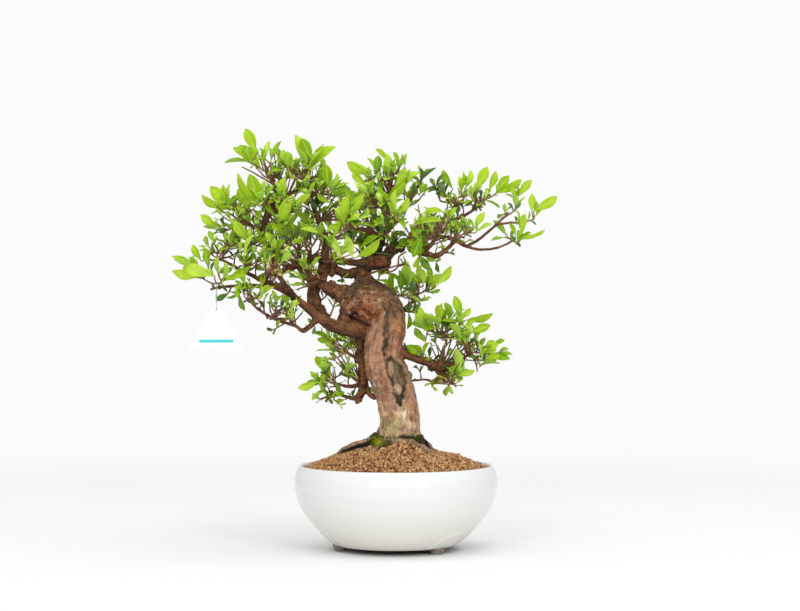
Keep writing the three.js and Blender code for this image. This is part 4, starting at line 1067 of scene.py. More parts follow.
def scattered_granules(wood):
    """Loose granules over the whole mound, spaced as seeds are in a flower head."""
    rng = random.Random(41)
    shapes, heap = granule_shapes(), Heap()
    points, radii = wood
    for i in range(GRAIN["count"]):
        reach = (SOIL["radius"] - 1.2) * math.sqrt((i + 0.5) / GRAIN["count"])
        turn = i * math.pi * (3 - math.sqrt(5))
        x = reach * math.cos(turn) + rng.uniform(-0.7, 0.7)
        y = reach * math.sin(turn) + rng.uniform(-0.7, 0.7)
        size = GRAIN["least"] + (GRAIN["most"] - GRAIN["least"]) * rng.random() ** 1.8
        z = float(soil_height(x, y)) - 0.65 * size + rng.uniform(-0.8, 0.6)
        stretch = [rng.uniform(0.8, 1.6), rng.uniform(0.55, 1.0), rng.uniform(0.5, 0.9)]
        spot, shade, shape = np.array([x, y, z]), rng.random(), rng.choice(shapes)
        corner = turned_about(rng, shape.points * size * stretch) + spot
        if (np.linalg.norm(points - spot, axis=1) - radii).min() > -0.6 * size:
            heap.add(corner, shape.faces, tint=shade, uv=shape.uv)
    return settle(heap.piece("soil_granules", [GRANULES]), "granules", "soil")


# ---- trunk and branches -------------------------------------------------------------------------

HEAVY = 3.1  # limbs thicker than this are fused with the trunk
VOXEL = 0.95  # the grid that the heavy wood is fused on

# The furrow down the trunk's front, from its top down, as [x, z, half width, depth].
FURROW = [
    [-9, 236, 1.2, 1.0], [-9.5, 230, 2.6, 1.8], [-9.5, 220, 3, 2.4], [-10, 209, 2.8, 2.6],
    [-11.5, 197, 2.4, 2.2], [-9.5, 189, 1.8, 2.4], [-7, 178, 1.2, 2],
]
# The old wound, from its top down, as [z, left, right], with a rolled rim and weathered heartwood inside.
WOUND = [
    [194, -6.5, -5.5], [188, -8.6, 1], [183, -8.8, 7], [174, -8, 9.8], [169, -5, 10.3], [163, -3.6, 10.3],
    [156, -2.4, 9], [153, -1, 8], [148, 1, 6.6], [143.5, 3.6, 5],
]
WOUND_DEEP, WOUND_RIM = 3.4, 1.2
# What is left standing in it, as (x, z, half width, half height, how far it stands up).
ISLANDS = [(-5, 180.5, 4.2, 8.5, 1.8), (2.2, 160.5, 5.6, 6.2, 2.2)]

# Burrs, swollen joints and webs where the old limbs have grown together, as runs of wood.
BURRS = [
    [[-36, 2, 243, 10], [-39, 1, 240, 9.6]], [[-48, 3, 238, 7], [-51, 1, 230, 7.6], [-50, 0, 223, 7]],
    [[-83, 5, 252, 7], [-82, 4, 243, 7.5], [-76, 3, 234, 8]], [[-66, 0, 277, 4.5], [-62, 0, 275, 4]],
    [[-68, -2, 265, 5], [-62, -2, 262.5, 5]],
    [[-64, 3, 288, 3.4], [-52, 1, 287, 3.1], [-40, 0, 286.5, 3.3], [-30, 2, 287, 5]],
    [[-44, 4, 252, 8], [-47, 3, 243, 8], [-51, 2, 234, 7]], [[-53, 1, 229, 6.2], [-56, 0, 223, 6]],
    [[-41, 3, 232, 6], [-34, 2, 227, 7], [-28, 1, 222, 8]],
    [[-45, 1, 257, 6.4], [-54, -1, 259, 5.6], [-61, -2, 260, 5]], [[-58, -6, 255, 4.6], [-61, -6, 254, 4.2]],
    [[-74, -5, 268, 5.6], [-72, -5, 276, 5.2]], [[-68, 1, 283, 5.6], [-62, 3, 285, 5]],
    [[-46, 9, 277, 5.8], [-42, 9, 275, 6]], [[-81, 9, 247, 6.8], [-84, 11, 255, 6.6], [-81, 13, 264, 6]],
    [[-16, -2, 288, 7.6], [-12, -4, 284, 5.6]], [[2, -1, 300, 5.4], [7, -2, 303, 5]],
    [[20, -3, 306, 5.2], [22, -3, 302, 4.6]], [[43, -8, 186, 5.4], [47, -8, 179, 5.2]],
    [[38, -4, 180, 4.6], [34, -5, 183, 4.4]],
]
SLIM = {"low_left": (-70, 0.78), "low_right_up": (99, 0.72), "right": (-4, 0.9)}  # limbs slimmer beyond an X
# Dark folds in the bark, as (x, z), cut in and painted near black as shadow: one under the knuckle,
# one where the trunk stands on its front root.
CREASES = [
    [(-46, 233), (-40, 229.5), (-33, 226.5), (-26, 223.5)], [(3, 113.5), (10, 114), (18, 112.5), (26, 107.5)],
]

CREASE_DEEP = 2.4

# Broad colours of the bark: where (x, y, z), how far that reaches, and the colour and its strength.
TONES = [
    ((0, -20, 124), (34, 30, 26), "#D0BFA6", 0.9),
    ((-5, -20, 124), (11, 20, 15), "#A09766", 0.8),
    ((6, -20, 135), (6, 14, 7), "#EADCC6", 0.8),
    ((14, -20, 128), (7, 14, 8), "#D8BAA8", 0.75),
    ((16, -18, 131), (2.4, 10, 5), "#55392A", 0.8),
    ((17, -18, 118), (6, 12, 4), "#8B7466", 0.6),
    ((-21, -2, 115), (7, 16, 9), "#564A36", 0.9),
    ((-20, -16, 150), (6, 16, 30), "#A5928A", 0.7),
    ((-8, -18, 156), (10, 22, 20), "#A98A76", 0.85),
    ((-12, -18, 168), (4, 12, 9), "#A2644C", 0.6),
    ((15, -14, 160), (7, 16, 26), "#A9846D", 0.85),
    ((-20, -14, 200), (10, 18, 24), "#AE8A76", 0.85),
    ((4, -12, 206), (11, 20, 14), "#9F705A", 0.85),
    ((6, -10, 224), (8, 16, 6), "#AC6E4E", 0.75),
    ((-6, -12, 238), (12, 16, 9), "#68513F", 0.9),
    ((-20, 4, 263), (32, 26, 11), "#5E4C3B", 0.95),
    ((2, 4, 250), (14, 26, 9), "#6B5541", 0.85),
    ((-34, -14, 250), (16, 16, 10), "#8A6347", 0.8),
    ((-33, -14, 239), (15, 16, 10), "#935232", 0.95),
    ((-24, -13, 232), (8, 10, 5), "#8A4526", 0.85),
    ((-46, 0, 254), (9, 14, 12), "#72553F", 0.8),
    ((-52, 0, 229), (12, 16, 12), "#6E4835", 0.8),
    ((-60, -6, 255), (5, 9, 5), "#A47862", 0.9),
    ((-73, -5, 272), (5, 9, 11), "#94643F", 0.9),
    ((-14, -4, 287), (9, 12, 8), "#8C5A3A", 0.8),
    ((20, 0, 304), (28, 20, 13), "#86613C", 0.7),
    ((-34, 13, 170), (10, 16, 46), "#835C3A", 0.8),
]
# The roots' near-black bark is partly painted shade; the paler colour of their tops is painted light.
DEEP_BARK, LIMB_BARK, FAIR_BARK, ROOT_BARK_AND_SHADE, ROOT_TOP_PAINTED_LIGHT = "#3B3129", "#5C3C26", "#734D34", "#150E0C", "#B0917E"
# The front root, whose bark has rubbed off.
PINK_ROOT = {"place": ((27, -24, 103), (15, 9, 10)), "ink": "#A08678"}
FAIR = ("low_left", "tag_twig", "under_left", "low_right", "right_low")  # limbs whose bark has flaked smooth
HEART_PALE, HEART_DARK, FURROW_DARK, LICHEN = "#B0947A", "#4D4436", "#4A3F36", "#7B7157"


def smoothed(paths, steps):
    return [Run(*smooth(path, steps)) for path in paths]


def trunk_swell(angle, points):
    """The trunk's flutes: two strands grown together, with ribs that wander up it."""
    share = (points[:, 2:] - 74) / 180
    ribs = 0.04 * np.sin(3 * angle + 5 * share) + 0.025 * np.sin(5 * angle - 9 * share)
    return 1 + ribs + 0.012 * np.sin(9 * angle + 14 * share)


def lumpy(seed, amount, pitch):
    """A swell that makes a limb knotty: its thickness wanders along and round it."""

    def swell(angle, points):
        around = np.array([[math.cos(a), math.sin(a)] for a in angle])
        return np.array([
            [1 + amount * noise.noise(Vector((c * 0.6 + seed, s * 0.6, i * pitch))) for c, s in around]
            for i in range(len(points))
        ])

    return swell


def knots_on(run, rng):
    """Swellings where old shoots were cut away: short fat tubes that stand out of a limb."""
    ahead, side, other = frames(run.points)
    arc, at, knots = lengths(run.points), rng.uniform(4, 12), []
    while at < arc[-1]:
        k = int(np.searchsorted(arc, at))
        roll, radius = rng.uniform(0, 2 * math.pi), run.radii[k]
        out = unit(side[k] * math.cos(roll) + other[k] * math.sin(roll) + ahead[k] * rng.uniform(-0.3, 0.6))
        long, wide = radius * rng.uniform(1.1, 1.45), radius * rng.uniform(0.45, 0.8)
        points = run.points[k] + np.outer([0, 0.6, 1], out) * long
        knots.append(Run(points, np.array([wide, wide, wide * 0.75])))
        at += rng.uniform(9, 22)
    return knots


def slimmed(name, run):
    """A limb drawn thinner on the far side of its X, as SLIM gives."""
    edge, share = SLIM.get(name, (0, 1))
    fade = -8 if name == "right" else 8
    beyond = ease(edge + fade, edge - fade, run.points[:, 0])
    return Run(run.points, run.radii * (1 - (1 - share) * beyond))


def split_by_thickness(run):
    """The heavy start and the fine end of a limb, which overlap a little."""
    thin = np.nonzero(run.radii < HEAVY)[0]
    cut = thin[0] if len(thin) else len(run.radii)
    heavy = Run(run.points[: cut + 2], run.radii[: cut + 2]) if cut > 2 else None
    back = max(cut - 2, 0)
    fine = Run(run.points[back:], run.radii[back:]) if cut < len(run.radii) - 1 else None
    return heavy, fine


def nearest_on(runs, points):
    """For each point its grain, and the radius and kind of the run of wood that it lies on."""
    centre, ahead, side, other = map(np.vstack, zip(*((run.points, *frames(run.points)) for run in runs)))
    arc = np.concatenate([lengths(run.points) for run in runs])
    radius = np.concatenate([run.radii for run in runs])
    kind = np.repeat(np.arange(len(runs)), [len(run.radii) for run in runs])
    best = np.empty(len(points), int)
    for start in range(0, len(points), 4000):
        some = points[start : start + 4000]
        far = np.linalg.norm(some[:, None] - centre[None], axis=2) - radius
        best[start : start + 4000] = far.argmin(axis=1)
    off = points - centre[best]
    grain = np.column_stack([
        (off * side[best]).sum(1), (off * other[best]).sum(1), arc[best] + (off * ahead[best]).sum(1),
    ])
    return grain, radius[best], kind[best]


def bark_relief(grain, radius):
    """Flaking, fissured relief along the grain: coarser on thick wood."""
    coarse = [noise.fractal(Vector((g[0] * 0.13, g[1] * 0.13, g[2] * 0.075)), 1, 2, 4) for g in grain]
    fine = [noise.noise(Vector((g[0] * 0.55, g[1] * 0.55, g[2] * 0.4 + 7))) for g in grain]
    return np.array(coarse) * np.clip(0.08 * radius, 0.35, 0.9) + np.array(fine) * 0.22


def wrinkles(points):
    """Folds across the bark where the trunk bends to the left."""
    near = bell(points[:, 2], 205, 22) * bell(points[:, 0], -22, 12)
    wander = np.sin(points[:, 0] * 0.22) * 1.4 + np.sin(points[:, 1] * 0.19) * 1.1
    return near * 0.42 * np.sin(points[:, 2] * 2 * math.pi / 6.5 + wander)


def furrow_at(points):
    """Share of the furrow's depth, and that depth, at each point of the trunk's front."""
    x, z, half, deep = np.array(FURROW[::-1], float).T
    level = points[:, 2]
    wander = 0.7 * np.sin(level * 0.9) + 0.5 * np.sin(level * 0.37)
    off = (points[:, 0] - np.interp(level, z, x) - wander) / np.interp(level, z, half)
    within = ease(z[0] - 4, z[0] + 2, level) * ease(z[-1] + 3, z[-1] - 3, level)
    return np.exp(-(off**4)) * within * (points[:, 1] < -4), np.interp(level, z, deep)


def wound_at(points):
    """How far outside the wound's edge each point lies, in millimetres. Far, off the trunk's front."""
    level, left, right = np.array(WOUND[::-1], float).T
    x, z = points[:, 0], points[:, 2]
    a, b = np.interp(z, level, left), np.interp(z, level, right)
    ragged = 0.7 * np.sin(z * 0.8 + 0.3 * x) + 0.5 * np.sin(z * 0.37 - 0.8 * x)
    beside = np.abs(x - (a + b) / 2) - (b - a) / 2
    beyond = np.abs(z - (level[0] + level[-1]) / 2) - (level[-1] - level[0]) / 2
    return np.where(points[:, 1] < -2, np.maximum(beside, beyond) + ragged, 99.0)


def fold_and_shadow_at(points):
    """1 along the folds, which are cut in and painted near black as shadow, 0 off them."""
    share = np.zeros(len(points))
    for crease in CREASES:
        x, z = np.array(crease, float).T
        level = np.interp(points[:, 0], x, z)
        ends = ease(x[0] - 3, x[0] + 2, points[:, 0]) * ease(x[-1] + 2, x[-1] - 3, points[:, 0])
        share += bell(points[:, 2], level, 1.5) * ends * (points[:, 1] < 2)
    return share


def island_at(points, island):
    """1 on a piece of old wood left standing in the wound, 0 off it."""
    x, z, half, tall, _ = island
    off = np.hypot((points[:, 0] - x) / half, (points[:, 2] - z) / tall)
    return ease(1.15, 0.75, off) * (points[:, 1] < -2)


def blended(colours, *layers):
    """Colours with each layer's ink laid over them in turn, as strongly as its share at each point."""
    for ink, share in layers:
        colours = colours + (np.array(linear(ink)[:3]) - colours) * np.clip(share, 0, 1)[:, None]
    return colours


def plain(ink, count):
    return np.tile(np.array(linear(ink)[:3]), (count, 1))


def falling_off(points, centre, reach, stray=0.0):
    """1 at a centre, down to 0 beyond its reach."""
    off = (points - centre) / reach + stray
    return np.exp(-((off**2).sum(1) ** 2))


def trunk_tones(points, normals, roots, limbs, fair, relief):
    """The bark's broad colours at each point of the heavy wood, with painted light and shade laid in."""
    x, y, z = points.T
    mottle = np.array([noise.fractal(Vector(p) * 0.07, 1, 2, 4) for p in points])
    patch = np.array([noise.noise(Vector(p) * 0.16 + Vector((40, 0, 0))) for p in points])
    bole = 1 - np.maximum(roots, limbs)
    furrow, _ = furrow_at(points)
    edge = wound_at(points)
    inside = ease(0.4, -0.8, edge)
    left = sum(island_at(points, island) for island in ISLANDS)
    lichen = ease(-4, 1, x) * ease(160, 166, z)
    seam = bell(edge, -0.6, 0.8) * 0.75
    low = ease(116, 109, z + 4 * mottle) * (1 - bell(x, 5, 10) * (y < 0))
    colours = blended(plain("#946F54", len(points)), (LIMB_BARK, limbs * (0.9 + 0.4 * mottle)))
    for centre, reach, ink, strength in TONES:
        near = falling_off(points, centre, reach, 0.45 * mottle[:, None])
        colours = blended(colours, (ink, strength * near))
    colours = blended(
        colours,
        ("#C2A08C", bole * 0.5 * ease(0.15, 0.45, patch)),
        ("#6E5647", bole * 0.55 * ease(-0.15, -0.45, patch)),
        (FAIR_BARK, fair * (0.85 + 0.5 * mottle)),
        # Painted light and shade on the limbs: lighter on their tops, near black underneath.
        ("#96704F", limbs * 0.6 * ease(0.25, 0.95, normals[:, 2] + mottle * 0.9)),
        ("#3B261A", limbs * 0.75 * ease(0.0, -0.8, normals[:, 2] + mottle * 0.6)),
        (FURROW_DARK, 1.1 * furrow * ease(-0.35, 0.1, patch + 0.6 * mottle + 0.12)),
        # Painted shadow, near black, along the folds.
        ("#1E130E", fold_and_shadow_at(points)),
        (HEART_DARK, inside),
        (LICHEN, inside * lichen * ease(-0.3, 0.1, mottle + 0.1)),
        (HEART_PALE, inside * left),
        (DEEP_BARK, seam * ease(-0.4, 0.2, mottle + patch + 0.15)),
        ("#B9957F", bell(edge, 2.6, 1.4) * 0.65),
        # Roots and the trunk's foot near black: partly dark bark, partly painted shade.
        (ROOT_BARK_AND_SHADE, np.maximum(roots * ease(118, 112, z), low * 0.85)),
        # Root tops paler where they face up: painted light.
        (ROOT_TOP_PAINTED_LIGHT, roots * ease(0.45, 0.8, normals[:, 2] + 0.4 * mottle) * 0.9),
        (PINK_ROOT["ink"], roots * falling_off(points, *PINK_ROOT["place"]) * (0.85 + 0.4 * mottle)),
    )
    # Painted shade and light from the relief: darker in its hollows, lighter on its ridges.
    shade = np.clip(1 + (0.45 + 0.35 * np.maximum(limbs, roots)) * relief, 0.42, 1.25)
    rough = np.clip(0.4 + 0.6 * np.maximum(limbs, ease(222, 240, z)) - 0.25 * fair, 0, 1)
    return np.column_stack([colours * shade[:, None], rough])


def carried(mesh, name, kind, values):
    field = "vector" if kind == "FLOAT_VECTOR" else "color"
    mesh.attributes.new(name, kind, "POINT").data.foreach_set(field, np.ascontiguousarray(values).ravel())


def fused(runs):
    """Trunk, knuckle, roots and heavy limbs, with their knots, fused over a fine voxel grid."""
    heap, rng = Heap(), random.Random(29)
    for k, (kind, run) in enumerate(runs):
        swell = trunk_swell if kind == "trunk" else lumpy(k * 3.1, 0.24 if kind == "limb" else 0.13, 0.35)
        heap.add(*tube(run, 28 if run.radii.max() > 10 else 16, swell, tip=0.4)[:2])
        for knot in knots_on(run, rng) if kind == "limb" else ():
            heap.add(*tube(knot, 9, lumpy(k, 0.12, 1.0), tip=0.3)[:2])
    piece = heap.piece("trunk_and_limbs", [BARK])
    finished_with(piece, "REMESH", mode="VOXEL", voxel_size=VOXEL * MM)
    finished_with(piece, "SMOOTH", factor=0.5, iterations=3)
    return piece


def heavy_wood(runs):
    """The fused wood with its bark, and the points of its skin before that was raised."""
    piece = fused(runs)
    mesh = piece.data
    points = (corners(mesh) - AXIS) / MM
    normals = np.empty(len(points) * 3)
    mesh.vertices.foreach_get("normal", normals)
    normals = normals.reshape(-1, 3)
    grain, radius, kind = nearest_on([run for _, run in runs], points)
    kinds = np.array([name for name, _ in runs])[kind]
    relief = bark_relief(grain, radius)
    furrow, depth = furrow_at(points)
    edge = wound_at(points)
    rough = np.array([noise.noise(Vector(p) * 0.12) for p in points])
    left = sum(island_at(points, island) * island[-1] for island in ISLANDS)
    sunk = ease(0.6, -2.2, edge) * (WOUND_DEEP * (1 + 0.3 * rough) - left)
    raised = WOUND_RIM * bell(edge, 2.4, 1.6)
    bole = np.where(kinds == "trunk", 1.3 * rough + wrinkles(points), 0)
    lift = relief - furrow * depth - sunk + raised + bole - CREASE_DEEP * fold_and_shadow_at(points)
    set_corners(mesh, in_frame(points + normals * lift[:, None]))
    roots, dark, fair = ((kinds == name).astype(float) for name in ("root", "limb", "fair_limb"))
    # The tone carries the bark's colours with painted light and shade.
    carried(mesh, "tone", "FLOAT_COLOR", trunk_tones(points, normals, roots, dark + fair, fair, relief))
    carried(mesh, "grain", "FLOAT_VECTOR", grain)
    alone(piece)
    bpy.ops.object.shade_smooth()
    return settle(piece, "bark", "trunk_and_branches"), points


def fine_wood(runs):
    """The thinner ends of the limbs, each a knotty tube."""
    heap = Heap()
    for k, run in enumerate(runs):
        skin, faces, grain = tube(run, 10, lumpy(k * 2.3, 0.3, 0.5))
        heap.add(skin, faces, grain=grain)
    piece = heap.piece("fine_branches", [BARK])
    points = (corners(piece.data) - AXIS) / MM
    mottle = np.array([noise.noise(Vector(p) * 0.16) for p in points])
    tones = blended(plain("#6B4832", len(points)), ("#8E6D4E", ease(-0.1, 0.5, mottle)))
    carried(piece.data, "tone", "FLOAT_COLOR", np.column_stack([tones, np.ones(len(tones))]))
    return settle(piece, "bark", "trunk_and_branches")


def moss_grows(spot):
    """How thickly moss grows at a point of the trunk's foot, and how bright it is there."""
    ahead = spot[1] < MOSS["front"]
    x, wide, z, tall = MOSS["left"]
    bright = math.exp(-(((spot[0] - x) / wide) ** 2) - ((spot[2] - z) / tall) ** 4) * ahead
    x, wide, z, tall = MOSS["right"]
    corner = 0.7 * math.exp(-(((spot[0] - x) / wide) ** 2) - ((spot[2] - z) / tall) ** 2) * ahead
    z, tall = MOSS["seam"]
    seam = 0.5 * math.exp(-(((spot[2] - z) / tall) ** 2)) * ahead
    patch = noise.noise(Vector(spot) * 0.09 + Vector((3, 1, 0)))
    return 1.3 * bright + corner + seam if ahead else patch + 0.2, bright


def moss_at_the_foot(points):
    """Moss where the trunk meets the soil: tufts of short blades, bright at the left, darker right."""
    rng = random.Random(77)
    low, high = MOSS["band"]
    foot = points[(points[:, 2] > low) & (points[:, 2] < high)]
    heap = Heap()
    for _ in range(MOSS["tufts"]):
        spot = foot[rng.randrange(len(foot))]
        away = np.hypot(spot[0] - MOSS["middle"], spot[1])
        grown, bright = moss_grows(spot)
        sparse = 0.9 if spot[1] < MOSS["front"] else 0.4
        if grown < rng.uniform(0.1, sparse) or away > MOSS["out"]:
            continue
        outward = unit(np.array([spot[0] - MOSS["middle"], spot[1], 6.0]))
        for _ in range(MOSS["blades"]):
            tip = unit(outward + jog(rng, 0.8))
            aside = unit(np.cross(tip, UP)) * rng.uniform(0.25, 0.45)
            third = np.cross(tip, aside)
            tall = MOSS["tall"] * rng.uniform(0.5, 1)
            blade = np.array([spot + aside, spot - aside * 0.5 + third, spot - aside * 0.5 - third])
            blade = np.vstack([blade - tip * 0.5, [spot + tip * tall]])
            tint = min(1, 0.2 + 0.7 * bright + rng.uniform(-0.2, 0.2))
            heap.add(blade, [(0, 2, 1), (0, 1, 3), (1, 2, 3), (2, 0, 3)], tint=max(0, tint))
    return settle(heap.piece("moss", [MOSSES]), "granules")


# ---- foliage ------------------------------------------------------------------------------------

HEART = {"from": 0.6, "fewest": 1, "more": 3, "least": 7.0, "spread": 6.0}  # old leaves back along a twig
# Upright leaves in a rosette's middle.
YOUNG = {"fewest": 1, "more": 3, "least": 9.0, "spread": 8.0, "freer": 0.45}
FILL = {"share": 0.3, "least": 15.0, "spread": 8.0}  # half-grown ones among the grown
SIDE = {"fewest": 4, "more": 4, "least": 12.0, "spread": 18.0, "reach": 0.9}  # side twigs of a spray
CROWD = {"within": 46.0, "shut": 0.12, "open": 0.42}  # how a rosette's place in the crown is judged
# Its dark is painted shade: a rosette deep in the crown gets a darker tint.
SHADED = {"lost": 0.5, "size": 0.84, "dark": 0.12, "old": 1}  # what growing deep inside it costs
# Sprays that the grower thinned, by number, with the openness that they are grown with.
THINNED = {
    16: -0.6, 17: -0.8, 18: -0.6, 19: -0.5, 20: -0.5, 25: -0.8, 41: -0.9, 36: -0.4, 37: -0.9, 6: -0.5,
    7: -0.8, 38: -0.9, 39: -0.9, 40: -0.3, 46: -0.4, 52: -0.1, 54: -0.6, 53: -0.2, 33: -0.3, 34: -0.4,
    14: -0.6, 30: -0.7, 42: -0.9, 43: -0.2, 44: -0.3, 45: -0.4, 47: -0.8, 9: -0.3,
}
STRIPPED = -0.85  # a spray thinned below this has lost its side twigs too
FAN = {"fewest": 4, "more": 4, "short": 0.7, "spread": 7.5}  # bare-stemmed twigs that rise beside a spray
# Shoots straight out of the old wood: where each starts and ends, its leaves and their size.
WATER_SHOOTS = [
    ((-66, 4, 233), (-60, 13, 252), 6, 1.5), ((-79, 8, 246), (-64, 17, 260), 5, 1.3),
    ((-86, 12, 262), (-97, 6, 272), 4, 1.2), ((-46, 2, 226), (-52, 16, 241), 4, 1.4),
    ((-4, -1, 298), (3, -17, 304), 5, 1.7), ((10, -3, 305), (20, -18, 309), 6, 1.8),
    ((26, -1, 311), (36, -13, 317), 6, 1.7), ((20, -2, 301), (24, -12, 291), 4, 2.0),
    ((-12, 3, 312), (-3, -12, 322), 5, 1.6), ((6, 2, 252), (18, 6, 262), 5, 1.5),
    ((8, -2, 206), (14, 4, 196), 3, 1.3), ((30, -5, 187), (26, -12, 196), 4, 1.3),
    ((40, -6, 184), (33, -14, 193), 4, 1.3), ((46, -6, 180), (58, -14, 176), 4, 1.4),
    ((-40, 3, 216), (-48, 8, 206), 4, 1.5), ((-20, 8, 300), (-30, -4, 309), 5, 1.4),
    ((2, -9, 283), (10, -10, 286), 4, 1.0), ((-20, -3, 268), (-16, -8, 273), 4, 1.0),
    ((-6, -3, 301), (-4, -12, 309), 5, 1.2), ((2, -3, 303), (0, -12, 312), 5, 1.3),
    ((-58, 8, 279), (-52, 2, 268), 3, 1.1), ((44, -4, 294), (40, -12, 286), 3, 1.2),
]
# The leaves that stand out at the front, as x and z of the stalk's end and of the tip, how light each is,
# and how squarely its face is turned forward.
SHOWN_LEAVES = [
    (-134, 379, -156, 404, .5, 1), (-139, 395, -149, 420, .5, 1), (-131, 391, -128, 409, .8, .8),
    (-114, 387, -121, 402, .3, .9), (-103, 380, -109, 397, .5, 1), (-91, 383, -100, 414, .7, .8),
    (-83, 386, -95, 410, .25, 1), (-88, 377, -60, 402, .55, .7), (-87, 380, -71, 404, .5, .4),
    (-166, 339, -184, 363, .5, 1), (-166, 339, -193, 354, .6, .5), (-134, 343, -144, 373, .3, 1),
    (-134, 341, -158, 373, .6, .4), (-149, 335, -164, 346, .5, 1), (-115, 346, -109, 370, .6, .9),
    (-116, 323, -105, 350, .6, .9), (-100, 336, -85, 354, .5, .8), (-84, 321, -102, 339, .75, .7),
    (-72, 313, -94, 319, .7, .6), (-177, 321, -195, 333, .6, .9), (-146, 307, -160, 327, .6, 1),
    (-129, 289, -108, 307, .2, .9), (-154, 303, -179, 298, .7, .5), (-192, 287, -200, 304, .6, .9),
    (-184, 280, -188, 300, .3, .9), (-196, 286, -220, 290, .7, .6), (-190, 272, -220, 275, .7, .6),
    (-178, 272, -209, 282, .7, 1), (-141, 283, -161, 272, .4, .8), (-155, 263, -155, 251, .4, 1),
    (-66, 359, -70, 384, .2, 1), (-40, 345, -53, 361, .3, 1), (-63, 318, -73, 339, .8, .8),
    (-62, 320, -46, 343, .7, .7), (-42, 290, -49, 311, .8, 1), (-53, 290, -61, 310, .9, .8),
    (-40, 290, -15, 307, .5, .6), (-36, 298, -17, 312, .2, .7), (-50, 286, -59, 286, .3, .9),
    (-7, 388, -21, 400, .4, .8), (-9, 368, -9, 395, .7, .9), (-25, 373, -49, 386, .6, .8),
    (-29, 362, -43, 378, .7, .8), (4, 382, -3, 397, .3, .8), (9, 382, 11, 396, .6, .5),
    (0, 362, 10, 381, .6, 1), (-10, 348, 10, 366, .3, .8), (2, 357, 24, 378, .75, .7),
    (-13, 343, -18, 361, .3, .9), (57, 361, 47, 380, .4, .8), (65, 358, 67, 378, .7, .5),
    (70, 361, 76, 379, .8, .8), (81, 359, 91, 383, .6, 1), (93, 359, 101, 379, .5, .8),
    (100, 356, 114, 374, .35, 1), (101, 356, 126, 371, .65, .6), (120, 350, 115, 365, .5, .9),
    (122, 352, 136, 370, .5, .9), (136, 337, 136, 355, .6, 1), (138, 338, 161, 353, .6, .8),
    (125, 313, 129, 335, .65, .9), (120, 312, 113, 326, .4, .8), (124, 309, 148, 320, .7, .3),
    (77, 319, 88, 336, .7, .9), (79, 316, 96, 325, .7, .4), (26, 313, 16, 291, .1, 1),
    (24, 332, 46, 336, .5, .7), (17, 322, 45, 326, .6, .5), (52, 328, 59, 339, .5, .9),
    (40, 263, 56, 283, .75, .7), (36, 266, 34, 283, .5, .9), (27, 264, 27, 280, .7, .9),
    (13, 252, 24, 267, .4, 1), (5, 257, 5, 276, .1, 1), (-3, 257, -5, 276, .4, .8), (64, 232, 59, 253, .4, 1),
    (66, 230, 74, 241, .7, .9), (69, 229, 97, 234, .5, .5), (73, 216, 93, 225, .3, 1),
    (42, 229, 41, 244, .15, 1), (31, 223, 24, 242, .7, .9), (49, 225, 48, 240, .6, .9),
    (80, 206, 79, 222, .5, .6), (83, 199, 102, 206, .6, 1), (95, 204, 108, 209, .2, .9),
    (88, 193, 113, 190, .3, .9), (61, 174, 78, 179, .7, .8), (59, 173, 61, 183, .5, 1),
    (30, 194, 10, 203, .2, .9), (29, 207, 19, 222, .15, .9), (-64, 206, -79, 210, .15, 1),
    (-47, 207, -38, 203, .4, 1), (-77, 168, -98, 160, .7, .8), (-71, 160, -85, 149, .7, .7),
    (-51, 149, -61, 147, .3, 1), (-64, 167, -74, 183, .6, 1), (-147, 338, -157, 360, .5, 1),
    (-134, 341, -147, 351, .2, .8), (-130, 346, -120, 362, .5, .4), (-135, 291, -154, 288, .3, .9),
    (-129, 278, -139, 268, .3, .7), (-174, 275, -173, 291, .6, .8), (-173, 275, -159, 280, .1, .8),
    (66, 356, 63, 373, .8, .9), (84, 200, 88, 212, .7, .7), (67, 221, 80, 232, .6, .9),
    (60, 207, 71, 220, .2, .9), (63, 227, 45, 228, .5, .5), (34, 257, 45, 259, .15, .7),
    (20, 264, 14, 279, .5, .8), (8, 259, 22, 275, .5, .6), (1, 332, 0, 357, .8, .5),
    (4, 332, 13, 349, .6, .9), (1, 327, -7, 346, .4, .8), (24, 355, 31, 366, .3, .8),
    (11, 350, 22, 362, .4, .7), (-69, 360, -81, 371, .3, .6), (-70, 357, -84, 365, .15, .5),
    (-93, 358, -86, 366, .7, .9), (-65, 345, -78, 355, .5, .8), (-119, 331, -132, 344, .5, .7),
    (-136, 332, -147, 341, .2, .7), (88, 196, 100, 200, .8, .8), (101, 196, 116, 196, .3, .6),
]
# How they are set: how much nearer wood to the front is preferred, how far in front of it a leaf's stalk
# ends and its tip leans, its droop, how often a tuft of how many and how long leaves grows by it, and how
# near and down to what Y a grown leaf would hide it.
SHOWN = {
    "behind": 0.1, "stalk": 2.0, "lean": 5.0, "droop": (-0.04, 0.1), "tuft": 0.35, "tuft_leaves": (2, (8, 14)),
    "clear": 6.5, "depth": 30.0,
}
